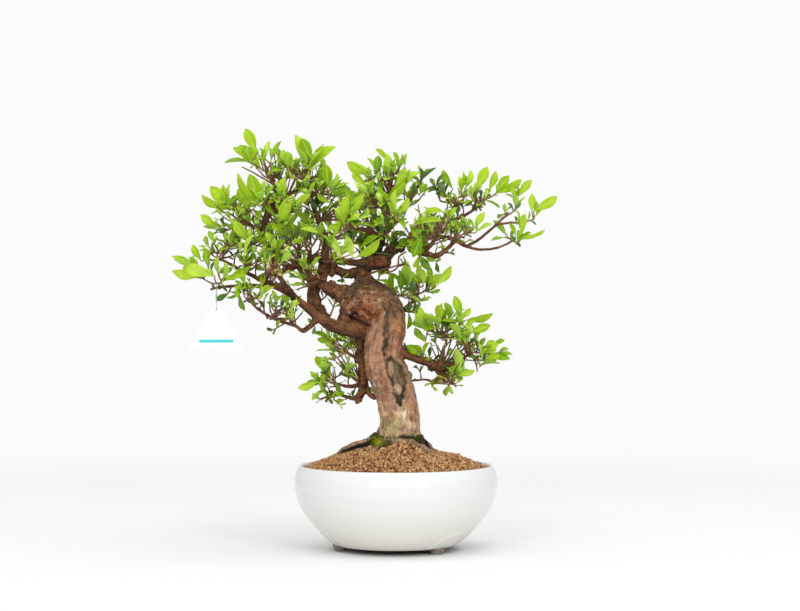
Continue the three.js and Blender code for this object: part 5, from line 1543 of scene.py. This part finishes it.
# Tufts of last year's dark leaves, in the same way as WATER_SHOOTS.
DARK_TUFTS = [
    ((22, 9, 362), (28, 3, 375), 6, 1.6), ((44, 17, 352), (38, 6, 366), 6, 1.5),
    ((53, 2, 347), (46, -2, 360), 5, 1.5), ((7, 11, 239), (18, 0, 237), 6, 1.4),
    ((-78, 12, 330), (-80, 2, 341), 5, 1.4), ((-123, 4, 367), (-120, -5, 378), 4, 1.4),
    ((-101, -18, 224), (-104, -20, 236), 5, 1.4), ((-163, -23, 262), (-166, -26, 255), 3, 1.4),
    ((-154, -23, 262), (-155, -26, 253), 2, 1.6), ((-13, 10, 316), (-22, -6, 326), 5, 1.5),
    ((-7, 5, 348), (-16, -8, 356), 4, 1.5), ((46, -8, 212), (52, -16, 221), 5, 1.5),
    ((-38, 0, 287), (-30, -2, 295), 6, 1.7), ((-28, 0, 292), (-22, -4, 300), 6, 1.6),
    ((-44, 2, 300), (-42, -4, 312), 6, 1.6), ((-34, 2, 303), (-36, -6, 316), 5, 1.5),
    ((80, -12, 198), (82, -16, 204), 5, 1.4),
]
# Brooms of thin twigs: where each stands, how far left and right, low and high its tips reach, and how many.
BROOMS = [
    ((-8, -2, 300), (-14, 12), (306, 322), 6), ((46, -6, 182), (32, 82), (196, 214), 10),
    ((-36, 13, 164), (-64, -42), (178, 200), 7), ((-112, 4, 349), (-118, -92), (362, 372), 6),
    ((-104, -18, 226), (-112, -90), (234, 246), 5),
]
# Bare twigs that cross before the old wood, as the points that each runs through.
BARE_TWIGS = [
    [(-28, -3, 275), (-14, -7, 279), (-5, -8, 281.5), (7, -9, 285)],
    [(-15, -6, 276), (-7, -8, 276.5), (1.5, -8, 281.5), (3, -8, 292), (10, -8, 297)],
    [(-27, -2, 300), (-20, -10, 306), (-9, -14, 316), (0, -16, 326)],
    [(-28, -2, 296), (-28, -9, 308), (-29, -12, 324)], [(-64, -4, 281), (-63, -8, 288), (-64, -9, 297)],
]
INNER = {"thin": 3.6, "spacing": 9.0, "least": 5.0, "most": 18.0, "leaves": (0, 3)}
BARE = ("right_up", "right_out", "tag_twig")  # limbs with leaves at their tips alone
WOODY, FRESH, OLD, SCALE = 0, 1, 2, 3  # the finishes of a spray, in order
LEAF_TURN = 2.4  # how far round its twig each leaf stands from the last, in radians
# Radii of thin twigs, at their start and end.
THIN = {
    "side": (0.85, 0.6), "fan": (1.1, 0.65), "shoot": (1.0, 0.6), "stalk": (0.8, 0.5), "inner": (0.8, 0.55),
    "bare": (1.1, 0.7),
}


def blade(name, rows, columns, fold, wave, seed):
    """A leaf of unit length along Y: pointed, widest past its middle, folded along its rib."""
    grid = {"x_subdivisions": columns, "y_subdivisions": rows, "size": 2, "calc_uvs": True}
    leaf = started(name, bpy.ops.mesh.primitive_grid_add, **grid)
    points = corners(leaf.data)
    across, along = points[:, 0], (points[:, 1] + 1) / 2
    along = along + 0.1 * np.sin(2 * math.pi * along) * (along - 1) * 0.6
    half = LEAF["aspect"] * np.maximum(np.sin(math.pi * along**1.45) ** 0.8, 0.07)
    edge = wave * np.sin(along * 2 * math.pi * 1.5 + seed) * across * np.abs(across) * np.sin(math.pi * along)
    lift = fold * np.abs(across) ** 1.4 * half + edge
    sweep = 0.03 * math.sin(seed * 2.1) * np.sin(math.pi * along * 0.5) ** 2
    set_corners(leaf.data, np.column_stack([across * half + sweep, along, lift]))
    finished_with(leaf, "SOLIDIFY", thickness=0.014, offset=0)
    return taken_shape(leaf)


def bud_shape():
    bud = started("bud", bpy.ops.mesh.primitive_uv_sphere_add, segments=6, ring_count=5, radius=1)
    points = corners(bud.data)
    points[:, :2] *= (0.32 * (1 - 0.35 * points[:, 2]))[:, None]
    set_corners(bud.data, points)
    return taken_shape(bud)


def set_leaf(heap, leaf, shape, slot, tint):
    """A copy of a leaf shape where a leaf grows."""
    x, y, z = (leaf.length * shape.points).T
    lift = z - leaf.droop * leaf.length * (y / leaf.length) ** 2
    points = leaf.base + np.outer(x, leaf.across) + np.outer(y, leaf.along) + np.outer(lift, leaf.face)
    heap.add(points, shape.faces, slot, tint, shape.under, shape.uv)


def set_bud(heap, point, axis, size, shape, tint):
    ahead, side, other = frames(np.array([point, point + axis]))
    turn = np.array([side[0], other[0], ahead[0]])
    heap.add(point + axis * size * 0.6 + shape.points * size @ turn, shape.faces, SCALE, tint, uv=shape.uv)


def turned_leaf(point, hub_axis, x, y, turn, lean, length, droop):
    along, face = around(hub_axis, x, y, turn, lean)
    return Leaf(point, along, face, np.cross(face, along), length, droop)


def twig_run(path, first, last, rng):
    """A twig as a smooth run, a little knotty."""
    radii = np.linspace(first, last, len(path))
    points, radii = smooth(np.column_stack([path, radii]), 3)
    knots = np.array([1 + 0.22 * max(0, rng.uniform(-1, 1)) for _ in radii])
    return Run(points, radii * knots)


def set_twig(heap, path, first, last, rng, shade, sides=6):
    skin, faces, grain = tube(twig_run(path, first, last, rng), sides)
    heap.add(skin, faces, WOODY, shade, grain=grain)


def openness(sprays):
    """For every rosette, 1 at the crown's edge, where it grows freely, down to 0 deep inside."""
    hubs = np.array([hub[0] for spray in sprays for hub, _ in spray.rosettes])
    shares = []
    for hub in hubs:
        near = hubs[np.linalg.norm(hubs - hub, axis=1) < CROWD["within"]] - hub
        lean = np.linalg.norm(near.mean(axis=0)) / CROWD["within"]
        shares.append(1.0 if len(near) < 4 else float(ease(CROWD["shut"], CROWD["open"], lean)))
    return iter(shares)


def hides_shown(leaf):
    """Whether a leaf would stand before one of SHOWN_LEAVES."""
    middle = leaf.base + leaf.along * leaf.length / 2
    near = [math.hypot((x + a) / 2 - middle[0], (z + c) / 2 - middle[2]) for x, z, a, c, _, _ in SHOWN_LEAVES]
    return middle[1] < SHOWN["depth"] and min(near) < SHOWN["clear"]


def set_rosette(heap, rng, shapes, hub, leaves, free):
    """A shoot's end: its grown leaves, the young ones standing in its middle, and its bud."""
    point, axis, x, y = hub
    # Painted shade: leaves deep inside the crown get a darker tint.
    lit = rng.uniform(-0.12, 0.12) - SHADED["dark"] * (1 - free)
    size = 1 - (1 - SHADED["size"]) * (1 - free)
    green = np.array([point - axis * 1.5, point + axis * 1.5, point + axis * 4])
    heap.add(*tube(tapered(green, 0.75, 0.45), 5)[:2], FRESH, 0.6)
    for leaf in leaves:
        upright = float(leaf.along[2])
        tint = 0.5 + 0.18 * upright + lit + rng.uniform(-0.26, 0.26)
        leaf = leaf._replace(length=leaf.length * size, base=leaf.base + axis * max(0, upright) * 1.6)
        if rng.random() > SHADED["lost"] * (1 - free) and not hides_shown(leaf):
            set_leaf(heap, leaf, rng.choice(shapes["grown"]), FRESH, min(1, max(0, tint)))
    for _ in range(YOUNG["fewest"] + rng.randrange(YOUNG["more"])):
        turn, lean = rng.uniform(0, 2 * math.pi), math.radians(rng.uniform(6, 30))
        length = YOUNG["least"] + YOUNG["spread"] * rng.random()
        length *= 1 + YOUNG["freer"] * max(0, free)
        leaf = turned_leaf(point + axis * 3.2, axis, x, y, turn, lean, length, rng.uniform(-0.08, 0.06))
        if rng.random() < 1 + free:
            set_leaf(heap, leaf, rng.choice(shapes["young"]), FRESH, rng.uniform(0.45, 1))
    if rng.random() < FILL["share"] * free:
        turn, lean = rng.uniform(0, 2 * math.pi), math.radians(rng.uniform(28, 80))
        length = FILL["least"] + FILL["spread"] * rng.random()
        leaf = turned_leaf(point + axis * 0.5, axis, x, y, turn, lean, length, rng.uniform(0.0, 0.16))
        shape = rng.choice(shapes["grown"])
        set_leaf(heap, leaf, shape, FRESH, min(1, max(0, 0.5 + lit + rng.uniform(-0.3, 0.3))))
    set_bud(heap, point, axis, rng.uniform(2.2, 3.4), shapes["bud"], rng.uniform(0.5, 1))
    set_scales(heap, rng, shapes, hub, 5)


def set_scales(heap, rng, shapes, hub, count):
    """Shed bud scales that still cling round a shoot's base."""
    point, axis, x, y = hub
    for _ in range(count):
        along, _ = around(axis, x, y, rng.uniform(0, 2 * math.pi), math.radians(rng.uniform(40, 110)))
        spot = point - axis * rng.uniform(-0.6, 2.4)
        set_bud(heap, spot, along, rng.uniform(0.8, 1.7), shapes["bud"], rng.uniform(0, 0.4))


def set_old_leaves(heap, rng, shapes, path, count, start=HEART["from"], size=1.0, fresh=0.3):
    """Small older leaves set round a twig, every one a golden angle on from the last."""
    points, _ = smooth(np.column_stack([path, np.ones(len(path))]), 4)
    ahead, side, other = frames(points)
    roll = rng.uniform(0, 2 * math.pi)
    for i in range(count):
        share = start + (0.98 - start) * (i + rng.uniform(0.2, 0.8)) / count
        k = min(len(points) - 1, int(share * (len(points) - 1)))
        turn = roll + i * LEAF_TURN + rng.uniform(-0.4, 0.4)
        lean = math.radians(rng.uniform(48, 104) - 18 * share)
        length = size * (HEART["least"] + HEART["spread"] * rng.random())
        leaf = turned_leaf(points[k], ahead[k], side[k], other[k], turn, lean, length, rng.uniform(0, 0.12))
        up = unit(leaf.along + UP * 0.35)
        face = unit(leaf.face - up * (leaf.face @ up))
        leaf = leaf._replace(along=up, face=face, across=np.cross(face, up))
        if rng.random() < fresh:
            set_leaf(heap, leaf, rng.choice(shapes["young"]), FRESH, rng.uniform(0.1, 0.7))
        else:
            set_leaf(heap, leaf, rng.choice(shapes["old"]), OLD, rng.random())


def set_side_twigs(heap, rng, shapes, spray):
    """Short twigs that fan out and up from a spray's own, each with a small rosette."""
    stem = np.linspace(spray.seat[0], spray.fork, 5)
    runs = [stem, *spray.twigs]
    edge = max(np.linalg.norm(twig[-1] - spray.seat[0]) for twig in spray.twigs)
    for i in range(SIDE["fewest"] + rng.randrange(SIDE["more"])):
        path = runs[i % len(runs)]
        k = rng.randint(1, len(path) - 2)
        ahead = unit(path[k + 1] - path[k])
        side = unit(np.array([rng.gauss(0, 1), rng.gauss(0, 1), rng.uniform(-0.2, 1.0)]))
        out = unit(ahead * 0.7 + side * 0.75 + UP * 0.35)
        long = SIDE["least"] + SIDE["spread"] * rng.random()
        while np.linalg.norm(path[k] + out * long - spray.seat[0]) > edge * SIDE["reach"] and long > 6:
            long -= 1
        tip = path[k] + out * long + UP * long * 0.12
        bend = path[k] + (unit(out + side * 0.5)) * long * 0.5
        twig = np.array([path[k], bend, tip])
        set_twig(heap, twig, *THIN["side"], rng, rng.uniform(0.1, 0.7), sides=5)
        axis = unit(tip - bend + UP * long * 0.4)
        hub = hub_at(tip, axis)
        set_tuft(heap, rng, shapes, hub, rng.randint(1, 3), (7, 14))
        set_old_leaves(heap, rng, shapes, twig, rng.randint(0, 2), start=0.75, size=0.85, fresh=0.15)


def set_tuft(heap, rng, shapes, hub, count, reach):
    """A short twig's end: a few small leaves, its bud and shed scales."""
    tip, axis, x, y = hub
    for _ in range(count):
        turn, lean = rng.uniform(0, 2 * math.pi), math.radians(rng.uniform(10, 52))
        leaf = turned_leaf(tip + axis * 0.4, axis, x, y, turn, lean, rng.uniform(*reach), rng.uniform(0, 0.12))
        set_leaf(heap, leaf, rng.choice(shapes["young"]), FRESH, rng.uniform(0.25, 0.95))
    set_bud(heap, tip, axis, rng.uniform(1.5, 2.3), shapes["bud"], rng.uniform(0.5, 1))
    set_scales(heap, rng, shapes, hub, 3)


def hub_at(tip, axis):
    """A twig's end with its axis and two directions across it."""
    x = unit(np.cross(axis, [1.0, 0, 0] if abs(axis[0]) < 0.8 else UP))
    return tip, axis, x, np.cross(axis, x)


def risen(bend, tip):
    """The hub of a twig that turns up at its end."""
    return hub_at(tip, unit(unit(tip - bend) + UP * 0.5))


def set_fan(heap, rng, shapes, spray):
    """Thin twigs that rise from the limb beside a spray's stem, bare below and tufted at the end."""
    origin = spray.seat[0]
    for i in range(FAN["fewest"] + rng.randrange(FAN["more"])):
        hub = spray.rosettes[i % len(spray.rosettes)][0][0]
        start = origin + stray(rng, 2.2, 2.2, 1.0)
        aim = hub + stray(rng, 1, 1, 0.6) * FAN["spread"]
        tip = start + (aim - start) * rng.uniform(FAN["short"], 1) - UP * 1.5
        bend = (start + tip) / 2 + np.array([rng.gauss(0, 1), rng.gauss(0, 1), -0.5]) * 2.4
        twig = np.array([start, (start + bend) / 2, bend, (bend + tip) / 2 + UP * 0.4, tip])
        set_twig(heap, twig, *THIN["fan"], rng, rng.uniform(0.1, 0.8), sides=5)
        set_tuft(heap, rng, shapes, risen(bend, tip), rng.randint(0, 2), (6, 12))


def leafy_spray(number, spray, shapes, bare, shares):
    """One spray of foliage: its stem out of the limb, its twigs and everything on them."""
    rng = random.Random(7000 + number)
    heap = Heap()
    origin, _ = spray.seat
    middle = (origin + spray.fork) / 2 + jog(rng, 0.6)
    stem = np.array([origin, middle, spray.fork])
    set_twig(heap, stem, TWIG["stem"] * 1.05, TWIG["fork"] * 1.05, rng, 0.25, sides=7)
    for twig, (hub, leaves) in zip(spray.twigs, spray.rosettes):
        set_twig(heap, twig, TWIG["fork"] * 0.98, TWIG["end"] * 0.95, rng, 0.55)
        free = THINNED.get(number + 1, next(shares))
        set_rosette(heap, rng, shapes, hub, leaves, free)
        count = HEART["fewest"] + rng.randrange(HEART["more"]) + round(SHADED["old"] * (1 - free))
        set_old_leaves(heap, rng, shapes, twig, 2 if bare else count)
    if not bare and THINNED.get(number + 1, 0) > STRIPPED:
        set_side_twigs(heap, rng, shapes, spray)
    if not bare:
        set_fan(heap, rng, shapes, spray)
    piece = heap.piece(f"{spray.owner}_foliage", [SHOOT, SPRING, WINTER, BUD])
    return settle(piece, "foliage", spray.owner)


def set_shoot(heap, rng, start, tip):
    """A thin shoot that sags a little on its way, and its path."""
    start, tip = np.array(start, float), np.array(tip, float)
    path = np.array([start, (start + tip) / 2 - UP * 1.2, tip])
    set_twig(heap, path, *THIN["shoot"], rng, rng.uniform(0.1, 0.6), sides=5)
    return path


def set_shown_leaves(heap, rng, shapes, wood):
    """The leaves of SHOWN_LEAVES, each on a stalk from the nearest wood, and tufts by some of them."""
    for x, z, tip_x, tip_z, tint, square in SHOWN_LEAVES:
        off = np.hypot(wood[:, 0] - x, wood[:, 2] - z) + SHOWN["behind"] * wood[:, 1]
        near = wood[off.argmin()]
        base = np.array([x, near[1] - SHOWN["stalk"], z])
        tip = np.array([tip_x, base[1] - SHOWN["lean"] * rng.uniform(-0.5, 1), tip_z])
        long = np.linalg.norm(tip - base)
        along = (tip - base) / long
        side = unit(np.cross(along, [0.0, 1, 0])) * rng.choice((-1, 1))
        face = np.array([0, -square, 0.25]) + side * math.sqrt(1 - square**2)
        face = unit(face - along * (face @ along))
        stalk = np.array([near, (near + base) / 2 - UP, base])
        set_twig(heap, stalk, *THIN["stalk"], rng, rng.uniform(0.2, 0.9), sides=5)
        leaf = Leaf(base, along, face, np.cross(face, along), long, rng.uniform(*SHOWN["droop"]))
        set_leaf(heap, leaf, rng.choice(shapes["grown"]), FRESH, tint)
        if rng.random() < SHOWN["tuft"]:
            set_tuft(heap, rng, shapes, hub_at(base, unit(along + UP)), *SHOWN["tuft_leaves"])


def set_inner_shoots(heap, rng, shapes, run):
    """Short leafy shoots all along the thin part of a limb."""
    thin = np.nonzero(run.radii < INNER["thin"])[0]
    if len(thin) < 2:
        return
    points, radii = run.points[thin[0] :], run.radii[thin[0] :]
    ahead, side, other = frames(points)
    arc = lengths(points)
    at = rng.uniform(0, INNER["spacing"])
    roll = rng.uniform(0, 2 * math.pi)
    while at < arc[-1]:
        k = int(np.searchsorted(arc, at))
        roll += LEAF_TURN
        out = side[k] * math.cos(roll) + other[k] * math.sin(roll)
        out = unit(out + ahead[k] * 0.4 + UP * 0.45)
        long = rng.uniform(INNER["least"], INNER["most"])
        tip = points[k] + out * (radii[k] + long) + UP * long * 0.15
        bend = (points[k] + tip) / 2 + jog(rng, 1)
        path = np.array([points[k], bend, tip])
        set_twig(heap, path, *THIN["inner"], rng, rng.uniform(0.0, 0.5), sides=5)
        count = rng.randint(*INNER["leaves"])
        set_old_leaves(heap, rng, shapes, path, count, start=0.55, size=0.92, fresh=0.35)
        set_bud(heap, tip, out, rng.uniform(1.4, 2.2), shapes["bud"], rng.random())
        at += INNER["spacing"] * rng.uniform(0.6, 1.5)


def set_leafy_shoot(heap, rng, shapes, start, tip, count, size, fresh):
    """One of WATER_SHOOTS or DARK_TUFTS. fresh is the share of its leaves that are this year's."""
    path = set_shoot(heap, rng, start, tip)
    set_old_leaves(heap, rng, shapes, path, count, start=0.45, size=size, fresh=fresh)
    set_bud(heap, path[-1], unit(path[-1] - path[0]), 2.2, shapes["bud"], 0.8)


def set_broom(heap, rng, shapes, base, across, up, count):
    """One of BROOMS: its twigs fan out evenly from left to right."""
    left, right = across
    for k in range(count):
        x = left + (right - left) * (k + rng.random()) / count
        tip = np.array([x, base[1] + rng.gauss(0, 7), rng.uniform(*up)])
        _, bend, tip = set_shoot(heap, rng, base, tip)
        set_tuft(heap, rng, shapes, risen(bend, tip), rng.randint(0, 2), (6, 13))


def inner_shoots(limbs, twigs, shapes):
    """All that grows straight from the old wood and not on a spray."""
    rng = random.Random(505)
    heap = Heap()
    for run in limbs:
        set_inner_shoots(heap, rng, shapes, run)
    for shoot in WATER_SHOOTS:
        set_leafy_shoot(heap, rng, shapes, *shoot, 0.6)
    for tuft in DARK_TUFTS:
        set_leafy_shoot(heap, rng, shapes, *tuft, 0.05)
    for path in BARE_TWIGS:
        set_twig(heap, np.array(path, float), *THIN["bare"], rng, 0.3, sides=5)
    set_shown_leaves(heap, rng, shapes, np.vstack([run.points for run in limbs] + twigs))
    for broom in BROOMS:
        set_broom(heap, rng, shapes, *broom)
    return settle(heap.piece("inner_shoots", [SHOOT, SPRING, WINTER, BUD]), "foliage")


def foliage_shapes():
    """The leaves and the bud that all foliage is made of. A leaf's fold and wave are in its own list."""
    grown = [(0.5, 0.012), (0.7, 0.02), (0.35, 0.03)]
    young, old = [(0.9, 0.01), (0.6, 0.01)], [(0.4, 0.02), (0.7, 0.02)]
    return {
        "grown": [blade(f"grown_leaf_{k}", 7, 4, *bend, k) for k, bend in enumerate(grown)],
        "young": [blade(f"young_leaf_{k}", 5, 2, *bend, k) for k, bend in enumerate(young)],
        "old": [blade(f"old_leaf_{k}", 5, 2, *bend, k + 3) for k, bend in enumerate(old)],
        "bud": bud_shape(),
    }


# ---- label --------------------------------------------------------------------------------------


def label_bow(z):
    """How far the thin sheet bows out to the front, z down from its top corner."""
    return 0.5 * np.sin(-z / TAG["height"] * math.pi)


def label_plate():
    """A triangular sheet with its three upright edges rounded."""
    half, tall = TAG["width"] / 2, TAG["height"]
    plate = started("label", bpy.ops.mesh.primitive_cylinder_add, vertices=3, radius=1, depth=1)
    points = corners(plate.data)
    level = np.sign(points[:, 2]) * TAG["thick"] / 2
    spots = np.array([[0, 0], [half, -tall], [-half, -tall]])
    turn = np.round(np.arctan2(points[:, 0], points[:, 1]) / (2 * math.pi / 3)).astype(int) % 3
    flat = spots[turn]
    set_corners(plate.data, np.column_stack([flat[:, 0], level, flat[:, 1]]) * MM)
    with edited(plate):
        bpy.ops.mesh.normals_make_consistent(inside=False)
        bpy.ops.mesh.select_mode(type="EDGE")
        bpy.ops.mesh.select_all(action="DESELECT")
    for edge in plate.data.edges:
        a, b = (plate.data.vertices[i].co for i in edge.vertices)
        edge.select = abs(a.y - b.y) > 0.5 * TAG["thick"] * MM
    bpy.ops.object.mode_set(mode="EDIT")
    bpy.ops.mesh.bevel(offset=TAG["corner"] * MM * 1.2, segments=8, affect="EDGES")
    bpy.ops.object.mode_set(mode="OBJECT")
    return plate


def hung_label():
    """A triangle of sheet plastic with round corners and an eye: it bears no words."""
    plate = label_plate()
    eye = started(
        "eye_cutter", bpy.ops.mesh.primitive_cylinder_add, vertices=32, radius=TAG["eye"] * MM, depth=6 * MM,
        rotation=(math.pi / 2, 0, 0), location=(0, 0, -(TAG["corner"] + TAG["eye"] + TAG["above"]) * MM),
    )
    finished_with(plate, "BOOLEAN", operation="DIFFERENCE", object=eye, solver="EXACT")
    bpy.data.objects.remove(eye)
    finished_with(plate, "BEVEL", width=0.16 * MM, segments=2, limit_method="ANGLE")
    bpy.ops.object.shade_smooth_by_angle(angle=math.radians(35))
    points = corners(plate.data) / MM
    points[:, 1] -= label_bow(points[:, 2])
    set_corners(plate.data, in_frame(points + [TAG["x"], TAG["y"], TAG["top"]]))
    plate.data.materials.append(LABEL)
    return settle(plate, "label", "tag")


def wire_loop():
    """The label's wire: over the twig, its two legs twisted together below, and through the eye."""
    eye = TAG["top"] - TAG["corner"] - TAG["eye"] - TAG["above"]
    low, high, over = WIRE["waist_low"], WIRE["waist_top"], WIRE["over"]
    turns, steps = 2.5, 20
    left = [[0, 0, eye + WIRE["radius"] - TAG["eye"] + 0.1], [0, -1.3, eye]]
    for i in range(steps + 1):
        t = i / steps
        swing = math.pi * (1 + 2 * turns * t)
        waist = WIRE["waist"] * 0.9
        left.append([waist * math.sin(swing), waist * math.cos(swing), low + (high - low) * t])
    end = math.cos(math.pi * (1 + 2 * turns))
    left += [[0, end * WIRE["leg"], over - 3.2], [0, end * WIRE["leg"] * 0.75, over - 0.7]]
    right = [[-x, -y, z] for x, y, z in left[1:]]
    path = np.array(left + [[0, 0, over]] + right[::-1]) + [TAG["x"], TAG["y"], 0]
    points, _ = smooth(np.column_stack([path, np.ones(len(path))]), 3)
    heap = Heap()
    skin, faces, grain = tube(tapered(points, WIRE["radius"], WIRE["radius"]), 8, tip=0.2)
    heap.add(skin, faces, grain=grain)
    return settle(heap.piece("label_wire", [STEEL]), "steel", "tag_wire")


def label_band():
    """The plain coloured band across the label's face."""
    band = started("label_band", bpy.ops.mesh.primitive_cube_add, size=1)
    points = corners(band.data) * [34, 0.2, 3.2]
    set_corners(band.data, points * MM)
    finished_with(band, "BEVEL", width=0.08 * MM, segments=1)
    low = -TAG["height"] * 0.82
    front = TAG["y"] - TAG["thick"] / 2 - float(label_bow(low))
    set_corners(band.data, in_frame(corners(band.data) / MM + [TAG["x"], front, TAG["top"] + low]))
    band.data.materials.append(BAND)
    return settle(band, "label")


# ---- camera, lights and floor -------------------------------------------------------------------

ROOM = {"fill": 0.76, "seen": 0.965}  # the white room's strength as a light and as it is seen


def level_camera():
    """A long lens, level, in front of the tree."""
    bpy.ops.object.camera_add(location=in_frame(EYE).tolist(), rotation=(math.pi / 2, 0, 0))
    camera = bpy.context.object
    camera.data.lens, camera.data.sensor_width = LENS, SENSOR
    camera.data.clip_end = 50
    bpy.context.scene.camera = camera


def softbox(name, place, target, size, power):
    """A square lamp that faces its target."""
    bpy.ops.object.light_add(type="AREA", location=place)
    lamp = bpy.context.object
    lamp.name = lamp.data.name = name
    lamp.data.shape = "RECTANGLE"
    lamp.data.size, lamp.data.size_y, lamp.data.energy = size, size, power
    lamp.rotation_euler = (Vector(target) - lamp.location).to_track_quat("-Z", "Y").to_euler()


def seamless_floor():
    """A white sweep of paper that fades into the backdrop."""
    floor = started("floor", bpy.ops.mesh.primitive_circle_add, vertices=96, radius=3.4, fill_type="NGON")
    material = bpy.data.materials.new("white_paper_sweep")
    material.use_nodes = True
    tree = material.node_tree
    tree.nodes.clear()
    place = add(tree, "TexCoord").outputs["Object"]
    away = add(tree, "VectorMath", {0: place}, operation="LENGTH").outputs["Value"]
    edge = {0: away, 1: 0.3, 2: 1.5, 3: 0.0, 4: 1.0}
    fade = add(tree, "MapRange", edge, interpolation_type="SMOOTHSTEP").outputs[0]
    depth = add(tree, "SeparateXYZ", {0: place}).outputs["Y"]
    # Painted shade and light: the paper darker at the front, lighter at the back, to even out its light.
    white = add(tree, "MapRange", {0: depth, 1: -0.4, 2: 0.4, 3: 0.82, 4: 0.9}).outputs[0]
    paper = add(tree, "BsdfPrincipled", {"Base Color": white, "Roughness": 0.9}).outputs[0]
    clear = add(tree, "BsdfTransparent").outputs[0]
    shader = add(tree, "MixShader", {0: fade, 1: paper, 2: clear}).outputs[0]
    add(tree, "OutputMaterial", {"Surface": shader})
    floor.data.materials.append(material)


def white_room():
    """White behind the tree for the camera, and a softer fill for the light on it."""
    world = bpy.data.worlds.new("white_room")
    bpy.context.scene.world = world
    world.use_nodes = True
    tree = world.node_tree
    tree.nodes.clear()
    seen = add(tree, "LightPath").outputs["Is Camera Ray"]
    level = add(tree, "MapRange", {0: seen, 1: 0.0, 2: 1.0, 3: ROOM["fill"], 4: ROOM["seen"]}).outputs[0]
    shade = add(tree, "Background", {"Color": (1, 1, 1, 1), "Strength": level}).outputs[0]
    add(tree, "OutputWorld", {"Surface": shade})


def lit_set():
    level_camera()
    scene = bpy.context.scene
    scene.view_settings.view_transform = "Standard"
    white_room()
    softbox("overhead", (0.05, -0.35, 1.75), (0, 0, 0.2), 1.7, 12.2)
    bowl = Vector((float(AXIS[0]), float(AXIS[1]), 0.05))
    for name, side, ahead in (("strobe_left", -0.32, -0.95), ("strobe_right", 0.47, -0.88)):
        place = bowl + Vector((side, ahead, 0.32)) * 2.0
        softbox(name, place, (bowl.x, bowl.y, 0.2), 0.42, 8.8)
    seamless_floor()


# ---- the tree -----------------------------------------------------------------------------------


def made():
    lit_set()
    limbs = [slimmed(name, run) for name, run in zip(LIMBS, smoothed(LIMBS.values(), 6))]
    roots = smoothed(ROOTS.values(), 6)
    trunk, knuckle = smoothed([TRUNK, KNUCKLE], 6)
    heavy = [("trunk", trunk), ("trunk", knuckle)] + [("root", root) for root in roots]
    heavy += [("limb", burr) for burr in smoothed(BURRS, 4)]
    fine = []
    for name, limb in zip(LIMBS, limbs):
        thick, thin = split_by_thickness(limb)
        heavy += [("fair_limb" if name in FAIR else "limb", thick)] if thick else []
        fine += [thin] if thin else []
    _, bark = heavy_wood(heavy)
    fine_wood(fine)
    thrown_bowl()
    bowl_feet()
    bedded_soil()
    base = [trunk, *roots]
    scattered_granules((np.vstack([run.points for run in base]), np.concatenate([run.radii for run in base])))
    moss_at_the_foot(bark)
    shapes = foliage_shapes()
    sprays = grow_sprays()
    shares = openness(sprays)
    for number, spray in enumerate(sprays):
        leafy_spray(number, spray, shapes, SPRAYS[number][0] in BARE, shares)
    leafy = [limb for name, limb in zip(LIMBS, limbs) if name not in BARE]
    inner_shoots(leafy, [twig for spray in sprays for twig in spray.twigs], shapes)
    hung_label()
    label_band()
    wire_loop()
    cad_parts["drain_screen"].data.materials.clear()
    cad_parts["drain_screen"].data.materials.append(NETTING)


made()
